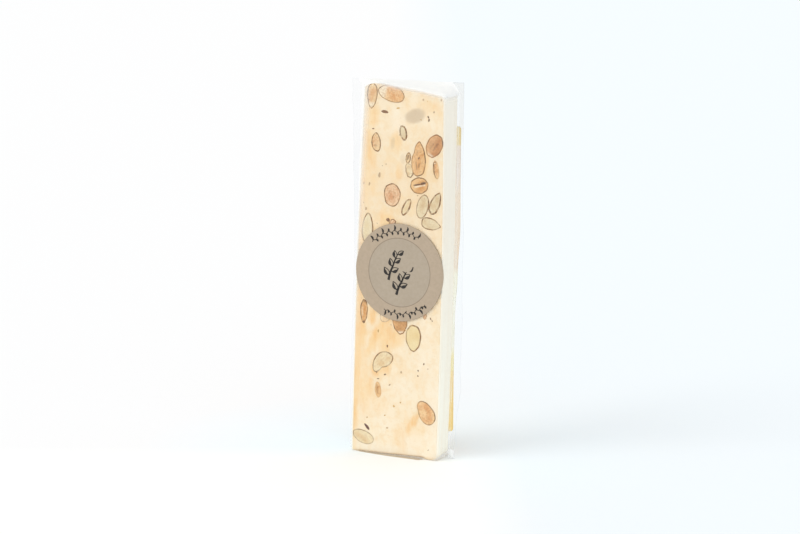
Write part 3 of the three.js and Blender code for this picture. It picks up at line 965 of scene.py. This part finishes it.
film = {
    "gap": 0.42,  # between the bar and the film
    "roofGap": 0.08,  # over the bar's top
    "roofLeft": -13.5,  # its top edge runs on level from here to the left
    "sheet": 0.14,  # thickness of a fin, where front and rear film lie together
    "edgeRadius": 1.2,  # of its upright edges round the bar
    "footRadius": 1.5,
    "rows": 230,
    "topLevels": [0.9972, 0.9986, 1.0],
    "floorRow": (0, 0.3, 0.8),  # height, and how far it is drawn in at the front and let out at the rear
    "footRows": [0.05, 0.15, 0.3, 0.5, 0.8],  # heights of the close rows over it
    "footReach": (0.2, 0.5),
    "bodyLow": 1.2,
    "foldHeight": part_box("bag")[1][2] / mm,
    "foldWave": 0.12,
    "foldSteps": [0.06, 0.14, 0.3, 0.5, 0.7, 0.86, 0.95, 1.0],
    # z and x of the fins' outer edges
    "leftTip": [(0, -22.9), (49, -22.5), (74, -21.5), (103, -21.8), (153, -22.8)],
    "rightTip": [(0, 22.4), (12, 23.2), (30, 25.2), (56, 26.2), (84, 25.2), (110, 24.6), (153, 24.5)],
    # z and how far, in radians, the right fin is bent back
    "rightBend": [
        (0, 0.05), (14, 0.25), (26, 0.8), (38, 1.2), (58, 1.3), (78, 1.2), (88, 0.75), (98, 0.45),
        (110, 0.2), (124, 0.08), (153, 0.08),
    ],
    "bendRadius": 0.8,
    "leftDepth": 0.45,
    "leftWander": (0.35, 41),  # its size, and the height of one wave
    "leftRoot": 0.5,
    "rightRoot": 1.0,  # before the rear, where the right side turns out into its fin
    "ripple": 0.22,  # of the fins
    # the bottom fold: how far it stands out in front, how soon that is lost with height, the x it ends at and
    # over how much, and the x it starts at, over how much, with the power of that rise
    "lip": 1.8,
    "lipHeight": 0.3,
    "lipEnd": (14.2, 2),
    "lipStart": (-19, 16, 0.6),
    "seed": 41,
    # the parts of the front chain, from the left tip to the right one: name and number of points
    "chain": [
        ("tip", 2), ("fin", 10), ("side", 8), ("corner", 8), ("front", 71), ("corner", 8), ("side", 21),
        ("root", 4), ("fin", 13), ("tip", 2),
    ],
    # milky white by kind of stretch; round the front corners and along the right fin's root it is painted
    # highlight
    "hazeAndGlare": {"tip": 0.06, "fin": 0.0, "side": 0.03, "corner": 0.04, "front": 0.0, "root": 0.3},
    "rearHaze": 0.6,  # of the front one
    # painted highlight round the right foot: amount, x start and span, z middle and width
    "footGlare": (0.07, (15, 4), (1.9, 1.1)),
    # painted highlight under the top edge and the right shoulder: amount, x start and span, how soon it is
    # lost downwards
    "topGlare": [(0.95, (-14, 14), 0.85), (0.34, (20.8, 0.7), 4.5)],
    # painted highlight round the left front edge: how far in, then z and how milky
    "softEdge": 3.6,
    "edgeGlare": [(15, 0.0), (30, 0.12), (60, 0.25), (95, 0.5), (150, 0.6)],
    # painted highlight over the roof
    "roofGlare": 0.95,
    "leftFootHaze": (0.3, (0, 8)),  # amount, z middle and width
    # painted shade on the left fin beside the bar: amount, z middle and width
    "leftShade": (0.3, (105, 25)),
    "tipSeam": (0.12, 0.3),  # of the left and the right tip
    "foldSeam": 0.7,
    # painted shade along the foot, a brown tint: height, start and end in x with their spans, how far it
    # thins past the end
    "lowBrownShade": (0.6, (-19.5, 4), (12.5, 2), 0.75),
    "frontDepth": -3,  # behind this y there is less of it
    "rearBrownShade": 0.3,
    # painted shade under the right corner
    "cornerBrownShade": (0.25, (16, 3), (1, 1.4)),  # amount, x start and span, z middle and width
    # a warm tint high on the right fin
    "finWarmTint": (0.12, (128, 8)),  # amount, z start and span
    # a corner of the bottom seam that stands out beside the right foot: x of its inner and outer ends, y of
    # the inner one and how much farther back the outer one lies, and how much lower, as a share of the height
    "ear": {
        "inner": 21.4, "outer": 23.5, "lowOuter": 23.8, "depth": 0.9, "backwards": 1.3, "height": 4.1,
        "lower": 0.12, "thickness": 0.22, "crumple": 0.3, "rows": 14, "across": 12,
    },
    "hazed": "#FEFEFE",
    "tintBrown": "#E8DCCB",
    "bare": (0.988, 0.989, 0.99, 1.0),
    "seamed": (0.92, 0.94, 0.955, 1.0),
}


def eased(z, stops):  # from stop to stop with a cosine ease
    at, values = (np.array(column, float) for column in zip(*stops))
    index = np.clip(np.searchsorted(at, z, side="right") - 1, 0, len(at) - 2)
    share = np.clip((z - at[index]) / (at[index + 1] - at[index]), 0, 1)
    return values[index] + (values[index + 1] - values[index]) * (0.5 - 0.5 * np.cos(np.pi * share))


def bentBack(x, y, start, angle, radius):  # past start a sheet turns back by an angle, then runs on straight
    run = np.maximum(x - start, 0)
    turned = np.minimum(run / radius, angle)
    rest = run - turned * radius
    return (
        np.minimum(x, start) + radius * np.sin(turned) + rest * np.cos(angle),
        y + radius * (1 - np.cos(turned)) + rest * np.sin(angle),
    )


def run(first, last, count):  # count points from first, without last
    share = np.linspace(0, 1, count, endpoint=False)
    return [first + (last - first) * s for s in share]


def filmChains(z, inset=0.0, reach=0.0):  # front and rear chains of points at heights z, from tip to tip
    left, right, front, rear = barSides(z)
    left, right = left - film["gap"], right + film["gap"] - roundedBy(z, film["footRadius"])
    front, rear = front - film["gap"] + inset, rear + film["gap"] + reach
    radius, half = film["edgeRadius"], film["sheet"] / 2
    tip = eased(z, film["leftTip"])
    root = left + (tip - left) * film["leftRoot"]
    wander, wave = film["leftWander"]
    middle = front + (rear - front) * film["leftDepth"] + wander * np.sin(2 * np.pi * z / wave)
    rightTip = eased(z, film["rightTip"])
    bend = eased(z, film["rightBend"])
    one = np.ones_like(z)

    def arc(centreX, centreY, start, stop, count):
        return [
            np.stack([centreX + radius * math.cos(a), centreY + radius * math.sin(a)])
            for a in np.linspace(math.radians(start), math.radians(stop), count)
        ]

    def point(x, y):
        return np.stack([x * one, y * one])

    frontLeft = arc(left + radius, front + radius, 180, 270, 8)
    frontRight = arc(right - radius, front + radius, 270, 360, 8)
    rearLeft = arc(left + radius, rear - radius, 180, 90, 8)
    leftSide = run(point(tip, middle - half), point(root, middle - half), 12)
    leftSide += run(point(root, middle - half), frontLeft[0], 8)
    frontChain = leftSide + frontLeft + run(frontLeft[-1], frontRight[0], 72)[1:] + frontRight
    rootLow, rootHigh = point(right, rear - film["rightRoot"]), point(right + 0.4, rear - 2 * half)
    frontChain += run(frontRight[-1], rootLow, 22)[1:] + run(rootLow, rootHigh, 4)
    frontChain += run(rootHigh, point(rightTip, rear - 2 * half), 14)
    frontChain.append(point(rightTip, rear - 2 * half))
    rearChain = run(point(tip, middle + half), point(root, middle + half), 12)
    rearChain += run(point(root, middle + half), rearLeft[0], 8) + rearLeft
    spare = len(frontChain) - len(rearChain)
    rearChain += run(rearLeft[-1], point(right, rear), spare - 15)[1:]
    rearChain += run(point(right, rear), point(rightTip, rear), 15)
    rearChain.append(point(rightTip, rear))
    frontChain, rearChain = np.array(frontChain), np.array(rearChain)
    along = frontChain[:, 0]
    (end, fade), (start, rise, power) = film["lipEnd"], film["lipStart"]
    ended = np.clip((end - along) / fade, 0, 1) * ramp(along, start, rise) ** power
    frontChain[:, 1] -= film["lip"] * ended * np.exp(-z / film["lipHeight"])
    for chain in (frontChain, rearChain):
        beyond = np.maximum(chain[:, 0] - right - 0.4, 0) + np.maximum(left - 0.4 - chain[:, 0], 0)
        chain[:, 1] += film["ripple"] * beyond / 2 * waves(z, beyond * 2, film["seed"] + 3, 30, 9)
        chain[:, 0], chain[:, 1] = bentBack(chain[:, 0], chain[:, 1], right + 0.3, bend, film["bendRadius"])
    return frontChain, rearChain


def filmTop(x):  # height at which the film leaves the bar's top and runs up to its fold
    return barTop(np.clip(x, film["roofLeft"], bar["rightX"])) + film["roofGap"]


def filmRings():  # the front chain and then the rear chain back again, from the floor up to the fold
    nominal, rearNominal = filmChains(np.array([bar["leanHeight"] / 2]))
    frontX, rearX = nominal[:, 0, 0], rearNominal[:, 0, 0]
    index = np.arange(len(frontX))

    def ringAt(heightOf, inset=0.0, reach=0.0):
        frontZ, rearZ = heightOf(frontX), heightOf(rearX)
        front = filmChains(frontZ, inset, reach)[0][index, :, index]
        rear = filmChains(rearZ, inset, reach)[1][index, :, index]
        return np.concatenate([np.column_stack([front, frontZ]), np.column_stack([rear, rearZ])[::-1]])

    rows = [film["floorRow"]] + [(height, *film["footReach"]) for height in film["footRows"]]
    rings = [ringAt(lambda x: height + 0 * x, inset, reach) for height, inset, reach in rows]
    low = film["bodyLow"]
    levels = np.concatenate([np.linspace(0, 1, film["rows"])[:-1], film["topLevels"]])
    rings += [ringAt(lambda x: low + (filmTop(x) - low) * level) for level in levels]
    shoulder = rings[-1]
    leftTip, rightTip = shoulder[0], shoulder[index[-1]]
    share = np.linspace(0, 1, len(index))
    fold = leftTip + (rightTip - leftTip) * np.concatenate([share, share[::-1]])[:, None]
    foldWaves = waves(fold[:, 0], 0 * fold[:, 0], film["seed"], 26, 9)
    fold[:, 2] = film["foldHeight"] + film["foldWave"] * foldWaves
    fold[:len(index), 1] -= film["sheet"] / 2
    fold[len(index):, 1] += film["sheet"] / 2
    for step in film["foldSteps"]:
        ring = shoulder + (fold - shoulder) * step
        ring[:, 2] = shoulder[:, 2] + (fold[:, 2] - shoulder[:, 2]) * step ** 0.8
        rings.append(ring)
    return np.array(rings)


def filmLook(rings):  # milky white at each point, much of it painted highlight, grey seam and painted shade, and brown painted shade
    x, y, z = np.moveaxis(rings, -1, 0)
    kinds = [name for name, number in film["chain"] for _ in range(number)]
    kinds += kinds[::-1]
    onFin = np.array([1.0 if kind in ("fin", "tip") else 0.0 for kind in kinds])
    inside = 1 - onFin
    hazeAndGlare = np.array([film["hazeAndGlare"][kind] for kind in kinds])
    hazeAndGlare[len(kinds) // 2:] *= film["rearHaze"]
    hazeAndGlare = hazeAndGlare * np.clip(0.75 + 0.5 * waves(z, x * 0.6, film["seed"] + 8, 24, 7), 0.3, 1.3)
    # painted highlights: milky white stands in for the light the film catches where it is pulled round the
    # right foot, along the top edge and over the roof, and where it bends round the left front edge, more so
    # higher up
    amount, across, upward = film["footGlare"]
    hazeAndGlare += inside * amount * ramp(x, *across) * bell(z, *upward)
    for amount, across, fall in film["topGlare"]:
        hazeAndGlare += amount * inside * ramp(x, *across) * np.exp(-np.maximum(filmTop(x) - z, 0) / fall)
    atEdge = np.clip(1 - (x - barSides(z)[0]) / film["softEdge"], 0, 1) * (y < 0)
    hazeAndGlare += inside * atEdge * np.interp(z, *np.transpose(film["edgeGlare"]))
    steps = film["foldSteps"]
    over = np.concatenate([np.zeros(len(rings) - len(steps)), np.minimum(np.array(steps) * 6, 1)])
    hazeAndGlare += film["roofGlare"] * inside * over[:, None]
    amount, upward = film["leftFootHaze"]
    hazeAndGlare += amount * onFin * (x < 0) * bell(z, *upward)
    hazeAndGlare[-3:] *= 0.75

    seamAndShade = np.array([1.0 if kind == "tip" else 0.0 for kind in kinds]) * np.where(x < 0, *film["tipSeam"])
    # painted shade greys the left fin beside the bar
    amount, upward = film["leftShade"]
    seamAndShade += amount * onFin * (x < 0) * bell(z, *upward)
    seamAndShade[-2:] = film["foldSeam"]

    # painted shade: a brown tint along the front foot and under the right corner, and a warm tint high on the
    # right fin
    height, start, end, thins = film["lowBrownShade"]
    brownTint = inside * bell(z, 0, height) * np.where(y < film["frontDepth"], 1.0, film["rearBrownShade"])
    brownTint = brownTint * ramp(x, *start) * (1 - thins * ramp(x, *end))
    amount, across, upward = film["cornerBrownShade"]
    brownTint += amount * inside * ramp(x, *across) * bell(z, *upward)
    amount, upward = film["finWarmTint"]
    brownTint += amount * onFin * (x > 0) * ramp(z, *upward)
    return {"hazeAndGlare": np.clip(hazeAndGlare, 0, 0.96), "seamAndShade": seamAndShade, "brownTint": brownTint}


def earPart():  # a small crumpled flap of doubled film, standing on the floor
    ear = film["ear"]
    up = np.linspace(0, 1, ear["rows"])[:, None]
    share = np.linspace(0, 1, ear["across"])
    ring = np.concatenate([share, share[::-1]])
    back = np.concatenate([np.zeros_like(share), np.ones_like(share)])
    outer = ear["lowOuter"] + (ear["outer"] - ear["lowOuter"]) * up
    x = ear["inner"] + (outer - ear["inner"]) * ring
    z = ear["height"] * up * (1 - ear["lower"] * ring) + 0.02
    crumple = ear["crumple"] * waves(x * 1.2, z, film["seed"] + 5, 6, 2.5)
    y = ear["depth"] + ear["backwards"] * ring + crumple + ear["thickness"] * back
    hazeAndGlare = 0.1 + 0.6 * np.clip(ring * 3 - 0.6, 0, 1) + 0 * x
    seamAndShade = 0.1 + 0.9 * (up < 0.06) + 0.5 * (up > 0.94) + 0 * x
    values = {"hazeAndGlare": hazeAndGlare, "seamAndShade": seamAndShade, "brownTint": 0 * seamAndShade}
    return ringSolid(np.stack([x, y, z], -1), values)


def closedByZip(rings, values):  # joined rings, closed at each end by quads between their two halves
    rows, around = rings.shape[:2]
    ring = np.arange(around // 2 - 1)
    back = around - 1 - ring
    zip0 = np.stack([ring + 1, ring, back, back - 1], -1)
    zip1 = np.stack([ring, ring + 1, back - 1, back], -1) + (rows - 1) * around
    quads = np.concatenate([ringQuads(rows, around), zip0, zip1])
    kept = {name: value.reshape(rows * around, -1) for name, value in values.items()}
    fans = np.zeros((0, 3), int)
    return facingOut({"points": rings.reshape(-1, 3), "quads": quads, "fans": fans, "values": kept})


def filmMaterial():
    # clear polypropylene film: it takes almost no light and shows by its mirror gloss, stronger at grazing
    # angles; creased and sealed stretches scatter a milky white, which also stands in as painted highlight
    # where the film catches the light; cut edges and folds show as a faint grey line, painted shade greys the
    # left fin, and a brown tint is painted shade along the foot and under the right corner
    material, tree = newMaterial("clear polypropylene film")
    place = addNode(tree, "TexCoord", output="Object")
    hazeAndGlare, seamAndShade, brownTint = (
        addNode(tree, "Attribute", output="Fac", attribute_name=name) for name in ("hazeAndGlare", "seamAndShade", "brownTint")
    )
    wrinkle = addNode(tree, "Mapping", {"Vector": place, "Scale": (1, 1, 0.35)})
    waviness = addNode(tree, "TexNoise", {"Vector": wrinkle, "Scale": 1 / (9 * mm), "Detail": 2.0})
    bump = addNode(tree, "Bump", {"Height": waviness, "Strength": 0.5, "Distance": 0.6 * mm})
    facing = addNode(tree, "LayerWeight", {"Normal": bump}, "Facing")
    steep = addNode(tree, "Math", {0: facing, 1: 4.0}, operation="POWER")
    gloss = addNode(tree, "Math", {0: steep, 1: 0.6, 2: 0.045}, operation="MULTIPLY_ADD")
    still = addNode(tree, "Math", {0: 1.0, 1: hazeAndGlare}, operation="SUBTRACT")
    gloss = addNode(tree, "Math", {0: gloss, 1: still}, operation="MULTIPLY")
    tint = film["bare"]
    for share, tone in ((seamAndShade, film["seamed"]), (brownTint, linear(film["tintBrown"]))):
        tint = addNode(tree, "Mix", {0: share, 6: tint, 7: tone}, 2, data_type="RGBA")
    clear = addNode(tree, "BsdfTransparent", {"Color": tint})
    mirror = addNode(tree, "BsdfGlossy", {"Color": (1, 1, 1, 1), "Roughness": 0.1, "Normal": bump})
    near = addNode(tree, "BsdfDiffuse", {"Color": linear(film["hazed"])})
    far = addNode(tree, "BsdfTranslucent", {"Color": linear(film["hazed"])})
    milky = addNode(tree, "MixShader", {0: 0.14, 1: near, 2: far})
    sheet = addNode(tree, "MixShader", {0: hazeAndGlare, 1: clear, 2: milky})
    surface = addNode(tree, "MixShader", {0: gloss, 1: sheet, 2: mirror})
    addNode(tree, "OutputMaterial", {"Surface": surface})
    return material


rings = filmRings()
filmParts = [closedByZip(rings, filmLook(rings)), earPart()]
addPiece("film_sachet", filmParts, filmMaterial(), "bag")

# round seal on the front

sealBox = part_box("front_sticker")
seal = {
    "radius": (sealBox[1][0] - sealBox[0][0]) / 2 / mm,
    "x": (sealBox[1][0] + sealBox[0][0]) / 2 / mm,
    "z": (sealBox[1][2] + sealBox[0][2]) / 2 / mm,
    "thickness": 0.16,
    "lift": 0.12,  # over the film
    "turnStart": 0.9,  # before the bar's right edge, where it turns back
    "turnRadius": 2.2,
    "edgeTurn": 0.75,  # radians
    "around": 160,
    "flatRings": (0.03, 0.985, 26),  # the first and last share of the radius, and how many
    "edgeThins": 0.85,
    "swell": 0.04,
    "seed": 77,
    "ring": 14.05,  # radius of the printed ring
    "ringWidth": 0.3,
    "paper": "#AEA08F",
    "line": "#6F6053",
}


def sealPlace(across, up, height):  # a point of the seal's plane on the front film, turned back at its edge
    z = seal["z"] + up
    _, right, front, _ = barSides(z)
    surface = front - film["gap"] - seal["lift"] - height
    start = right - seal["turnStart"]
    x, y = bentBack(seal["x"] + across, surface, start, seal["edgeTurn"], seal["turnRadius"])
    return np.stack([x, y, z * np.ones_like(x)], -1)


def sealPart():  # a disc in rings from the middle of its face, round its edge, to the middle of its back
    shares = np.concatenate([np.linspace(*seal["flatRings"]), [1.0]])
    angle = np.linspace(0, 2 * np.pi, seal["around"], endpoint=False)
    rows = [(share, seal["thickness"] * (1 if share < 1 else seal["edgeThins"])) for share in shares]
    rows += [(share, 0.0) for share in shares[::-1]]
    share, height = (np.array(column)[:, None] for column in zip(*rows))
    across = share * seal["radius"] * np.cos(angle)
    up = share * seal["radius"] * np.sin(angle)
    swell = seal["swell"] * waves(across, up, seal["seed"], 24, 9)
    return ringSolid(sealPlace(across, up, height + swell), {"across": across, "up": up})


def sealMaterial():
    # uncoated taupe paper with a thin printed ring: matt, faintly mottled by its fibres, warmer past the ring
    material, tree = newMaterial("uncoated taupe paper")
    place = addNode(tree, "TexCoord", output="Object")
    across = addNode(tree, "Attribute", output="Fac", attribute_name="across")
    up = addNode(tree, "Attribute", output="Fac", attribute_name="up")
    spot = addNode(tree, "CombineXYZ", {"X": across, "Y": up})
    reach = addNode(tree, "VectorMath", {0: spot}, "Value", operation="LENGTH")
    away = addNode(tree, "Math", {0: reach, 1: seal["ring"]}, operation="SUBTRACT")
    away = addNode(tree, "Math", {0: away}, operation="ABSOLUTE")
    line = addNode(tree, "MapRange", {
        "Value": away, "From Min": seal["ringWidth"] * 0.3, "From Max": seal["ringWidth"] * 0.7,
        "To Min": 0.55, "To Max": 0.0,
    })
    fibres = addNode(tree, "TexNoise", {"Vector": place, "Scale": 1 / (1.1 * mm), "Detail": 4.0})
    cloud = addNode(tree, "TexNoise", {"Vector": place, "Scale": 1 / (14 * mm), "Detail": 2.0})
    outside = addNode(tree, "MapRange", {
        "Value": reach, "From Min": seal["ring"] - 0.1, "From Max": seal["ring"] + 0.1,
    })
    fibre = addNode(tree, "MapRange", {"Value": fibres, "From Min": 0.35, "From Max": 0.7, "To Max": 0.3})
    colour = linear(seal["paper"])
    for share, tone in ((cloud, "#B3A594"), (outside, "#B6A490"), (fibre, "#9F907C"), (line, seal["line"])):
        colour = addNode(tree, "Mix", {0: share, 6: colour, 7: linear(tone)}, 2, data_type="RGBA")
    bump = addNode(tree, "Bump", {"Height": fibres, "Strength": 0.2, "Distance": 0.05 * mm})
    surface = addNode(tree, "BsdfPrincipled", {
        "Base Color": colour, "Roughness": 0.75, "Normal": bump, "IOR": 1.45, "Specular IOR Level": 0.25,
    })
    addNode(tree, "OutputMaterial", {"Surface": surface})
    return material


addPiece("seal", [sealPart()], sealMaterial(), "front_sticker")

# print on the seal: two leafy sprigs, and a garland over and under the ring

sprig = {
    "ink": "#15110F",
    "height": 0.035,
    "sink": 0.03,  # of a ribbon's lower face, in the paper
    # a sprig: points of its stem from foot to tip, its leaves' length and width, and how many there are
    "sprigs": [
        ([(-4.9, -3.4), (-4.2, -0.4), (-2.9, 2.6), (-1.8, 5.4), (-0.3, 8.2)], 3.9, 1.7, 6),
        ([(-1.3, -9.2), (-0.3, -6.2), (1.2, -3.4), (2.6, -0.6), (4.2, 2.0)], 3.9, 1.7, 6),
    ],
    "lineWidth": 0.55,
    "stemWidth": 1.15,
    "stemPoints": 48,
    "leafFrom": 8,  # the stem's points that carry the first leaf and, so many on, the last
    "leafSpan": 36,
    # a row: its first and last angle, and how many turns
    "rows": [(137, 59, 17), (246, 314, 15)],
    "rowRadius": 16.9,
    "rowSway": 0.32,
    "rowWidth": 0.28,
    "turnPoints": 12,
    "tallLeaf": 2.7,
    "lowLeaf": 1.5,
    "leafWidth": 0.78,
}


def strokePart(line, width, place):  # a thin flat ribbon along a line, its width given at each point
    step = np.gradient(line, axis=0)
    way = step / np.linalg.norm(step, axis=1)[:, None]
    side = np.stack([-way[:, 1], way[:, 0]], -1) * (np.asarray(width) / 2)[:, None]
    ring = [line + side, line - side, line - side, line + side]
    heights = [sprig["height"], sprig["height"], -sprig["sink"], -sprig["sink"]]
    corners = [
        place(edge[:, 0], edge[:, 1], seal["thickness"] + height) for edge, height in zip(ring, heights)
    ]
    return ringSolid(np.stack(corners, 1))


def curve(points, count):  # a Catmull-Rom curve through a few points
    points = np.array(points, float)
    padded = np.concatenate([2 * points[:1] - points[1:2], points, 2 * points[-1:] - points[-2:-1]])
    spans = len(points) - 1
    t = np.linspace(0, spans - 1e-9, count)
    i = t.astype(int)
    t = (t - i)[:, None]
    a, b, c, d = (padded[i + k] for k in range(4))
    bend, twist = 2 * a - 5 * b + 4 * c - d, 3 * b - a - 3 * c + d
    return 0.5 * (2 * b + (c - a) * t + bend * t ** 2 + twist * t ** 3)


def leafLine(start, way, length, width, count=30):  # out along one side of a leaf and back along the other
    t = np.linspace(0, 1, count)
    along = np.concatenate([t, t[-2::-1]]) * length
    belly = np.sin(np.pi * t) ** 0.8 * (1 - 0.35 * (t - 0.4)) * width / 2
    across = np.concatenate([belly, -belly[-2::-1]])
    s, c = math.sin(math.radians(way)), math.cos(math.radians(way))
    return np.array(start) + np.stack([along * s + across * c, along * c - across * s], -1)


def sprigParts(place):
    parts = []
    many = sprig["stemPoints"]
    for points, length, width, count in sprig["sprigs"]:
        stem = curve(points, many)
        parts.append(strokePart(stem, sprig["stemWidth"] * (1 - 0.7 * np.linspace(0, 1, many)), place))
        for i in range(count):
            at = sprig["leafFrom"] + round(sprig["leafSpan"] * i / (count - 1))
            step = stem[at + 2] - stem[at - 2]
            side = 1 if i % 2 else -1
            way = math.degrees(math.atan2(step[0], step[1])) + side * (52 - 4 * i)
            line = leafLine(stem[at], way, length * (1 - 0.05 * i), width * (1 - 0.04 * i))
            half = np.linspace(0, 1, len(line))
            bold = half < 0.5 if side > 0 else half > 0.5
            swell = 0.6 + bold * 1.8 * np.sin(2 * np.pi * half) ** 2  # one side of a leaf is bolder
            parts.append(strokePart(line, sprig["lineWidth"] * swell, place))
    return parts


def rowParts(place):  # a fine waving vine along an arc, with a leaf at each turn, every fourth one tall
    parts = []
    each = sprig["turnPoints"]
    for first, last, count in sprig["rows"]:
        turns = np.radians(np.linspace(first, last, each * count + 1))
        sway = sprig["rowSway"] * np.sin(np.linspace(0, np.pi * count, each * count + 1))
        reach = sprig["rowRadius"] + sway
        vine = np.stack([reach * np.cos(turns), reach * np.sin(turns)], -1)
        parts.append(strokePart(vine, np.full(len(vine), sprig["rowWidth"]), place))
        for i in range(count):
            at = each * i + each // 2
            outward = vine[at] / np.linalg.norm(vine[at])
            onward = vine[at + 1] - vine[at - 1]
            onward = onward / np.linalg.norm(onward)
            length = sprig["lowLeaf"] if i % 4 else sprig["tallLeaf"]
            side = 1 if i % 2 == 0 or first > 180 and i % 4 != 3 else -1
            t = np.linspace(0, 1, 11)[:, None]
            line = vine[at] + (side * outward + (0.9 - 0.8 * t) * onward) * t * length * 0.8
            parts.append(strokePart(line, sprig["leafWidth"] * np.sin(np.pi * t[:, 0] ** 0.8) + 0.1, place))
    return parts


def inkMaterial():
    # black printing ink on paper: dense, a little shinier than the sheet and worn thin in spots
    material, tree = newMaterial("black printing ink")
    place = addNode(tree, "TexCoord", output="Object")
    worn = addNode(tree, "TexNoise", {"Vector": place, "Scale": 1 / (0.6 * mm), "Detail": 2.0})
    share = addNode(tree, "MapRange", {"Value": worn, "From Min": 0.4, "From Max": 0.7, "To Max": 0.25})
    colour = addNode(tree, "Mix", {
        0: share, 6: linear(sprig["ink"]), 7: linear("#4A4039"),
    }, 2, data_type="RGBA")
    surface = addNode(tree, "BsdfPrincipled", {"Base Color": colour, "Roughness": 0.55, "IOR": 1.5})
    addNode(tree, "OutputMaterial", {"Surface": surface})
    return material


printParts = sprigParts(sealPlace) + rowParts(sealPlace)
addPiece("seal_print", printParts, inkMaterial(), "front_sticker", False)

# tall label on the back

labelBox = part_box("back_label")
label = {
    "low": labelBox[0][2] / mm,
    "high": labelBox[1][2] / mm - 0.6,
    "width": 41.0,
    "thickness": 0.2,
    "lift": 0.08,  # over the film
    # z and x of its right edge, before it is bent back with the film
    "rightEdge": [(0, 21.9), (36, 21.7), (57, 21.9), (76, 22.8), (94, 23.6), (117, 23.4), (137, 23.3)],
    "corner": 0.6,
    "rows": 150,
    "across": 54,
    "nearPoints": 22,  # of those, the close ones along the right edge, over this share of the width
    "nearShare": 0.15,
    "swell": 0.05,
    "seed": 91,
    # its flat fields from the foot up: where each starts, over how much it blends in, and its colour
    "foot": "#FFEDB8",
    "fields": [
        (25.0, 0.4, "#FDF5C8"), (31.0, 4.0, "#FFFEF4"), (65.0, 3.0, "#FBF2E6"), (96.0, 9.0, "#F8F1EA"),
        (117.2, 0.4, "#F7EBCA"),
    ],
    "through": 0.95,  # share of its light that comes from behind
}


def labelPlace(across, up, height):  # across from the right edge, up from the foot, laid on the rear film
    z = label["low"] + up
    x = eased(z, label["rightEdge"]) - across
    _, right, _, rear = barSides(z)
    y = rear + film["gap"] + label["lift"] + height
    start = right + film["gap"] + 0.1
    x, y = bentBack(x, y, start, eased(z, film["rightBend"]), film["bendRadius"])
    return np.stack([x, y, z + 0 * x], -1)


def labelPart():  # a sheet with rounded corners: rows across it, each a flat ring of its two faces
    height = label["high"] - label["low"]
    up = np.linspace(0, 1, label["rows"])
    up = height * (up - 0.03 * np.sin(2 * np.pi * up) / (2 * np.pi))
    cut = roundedBy(np.minimum(up, height - up), label["corner"])
    near = np.linspace(0, label["nearShare"], label["nearPoints"])
    share = np.linspace(label["nearShare"], 1, label["across"] - label["nearPoints"] + 1)[1:]
    share = np.concatenate([near, share])
    ring = np.concatenate([share, share[::-1]])
    outer = np.concatenate([np.zeros(len(share)), np.ones(len(share))])
    across = cut[:, None] + (label["width"] - 2 * cut[:, None]) * ring
    upGrid = up[:, None] * np.ones_like(across)
    swell = label["swell"] * waves(across, upGrid, label["seed"], 40, 14)
    points = labelPlace(across, upGrid, outer * label["thickness"] + np.abs(swell))
    return ringSolid(points, {"fromFoot": upGrid})


def labelMaterial():
    # thin coated label paper printed in flat fields: honey orange at the foot, then white, beige and an ochre
    # band at the head; light comes through it, so the print shows faintly on its hidden side too
    material, tree = newMaterial("printed label paper")
    place = addNode(tree, "TexCoord", output="Object")
    foot = addNode(tree, "Attribute", output="Fac", attribute_name="fromFoot")
    fibres = addNode(tree, "TexNoise", {"Vector": place, "Scale": 1 / (0.9 * mm), "Detail": 3.0})
    colour = linear(label["foot"])
    for start, blend, tone in label["fields"]:
        past = addNode(tree, "MapRange", {"Value": foot, "From Min": start, "From Max": start + blend})
        colour = addNode(tree, "Mix", {0: past, 6: colour, 7: linear(tone)}, 2, data_type="RGBA")
    share = addNode(tree, "MapRange", {"Value": fibres, "From Min": 0.4, "From Max": 0.7, "To Max": 0.08})
    colour = addNode(tree, "Mix", {0: share, 6: colour, 7: linear("#EAD4AE")}, 2, data_type="RGBA")
    sheet = addNode(tree, "BsdfPrincipled", {
        "Base Color": colour, "Roughness": 0.6, "IOR": 1.45, "Specular IOR Level": 0.35,
    })
    through = addNode(tree, "BsdfTranslucent", {"Color": colour})
    surface = addNode(tree, "MixShader", {0: label["through"], 1: sheet, 2: through})
    addNode(tree, "OutputMaterial", {"Surface": surface})
    return material


addPiece("label", [labelPart()], labelMaterial(), "back_label")
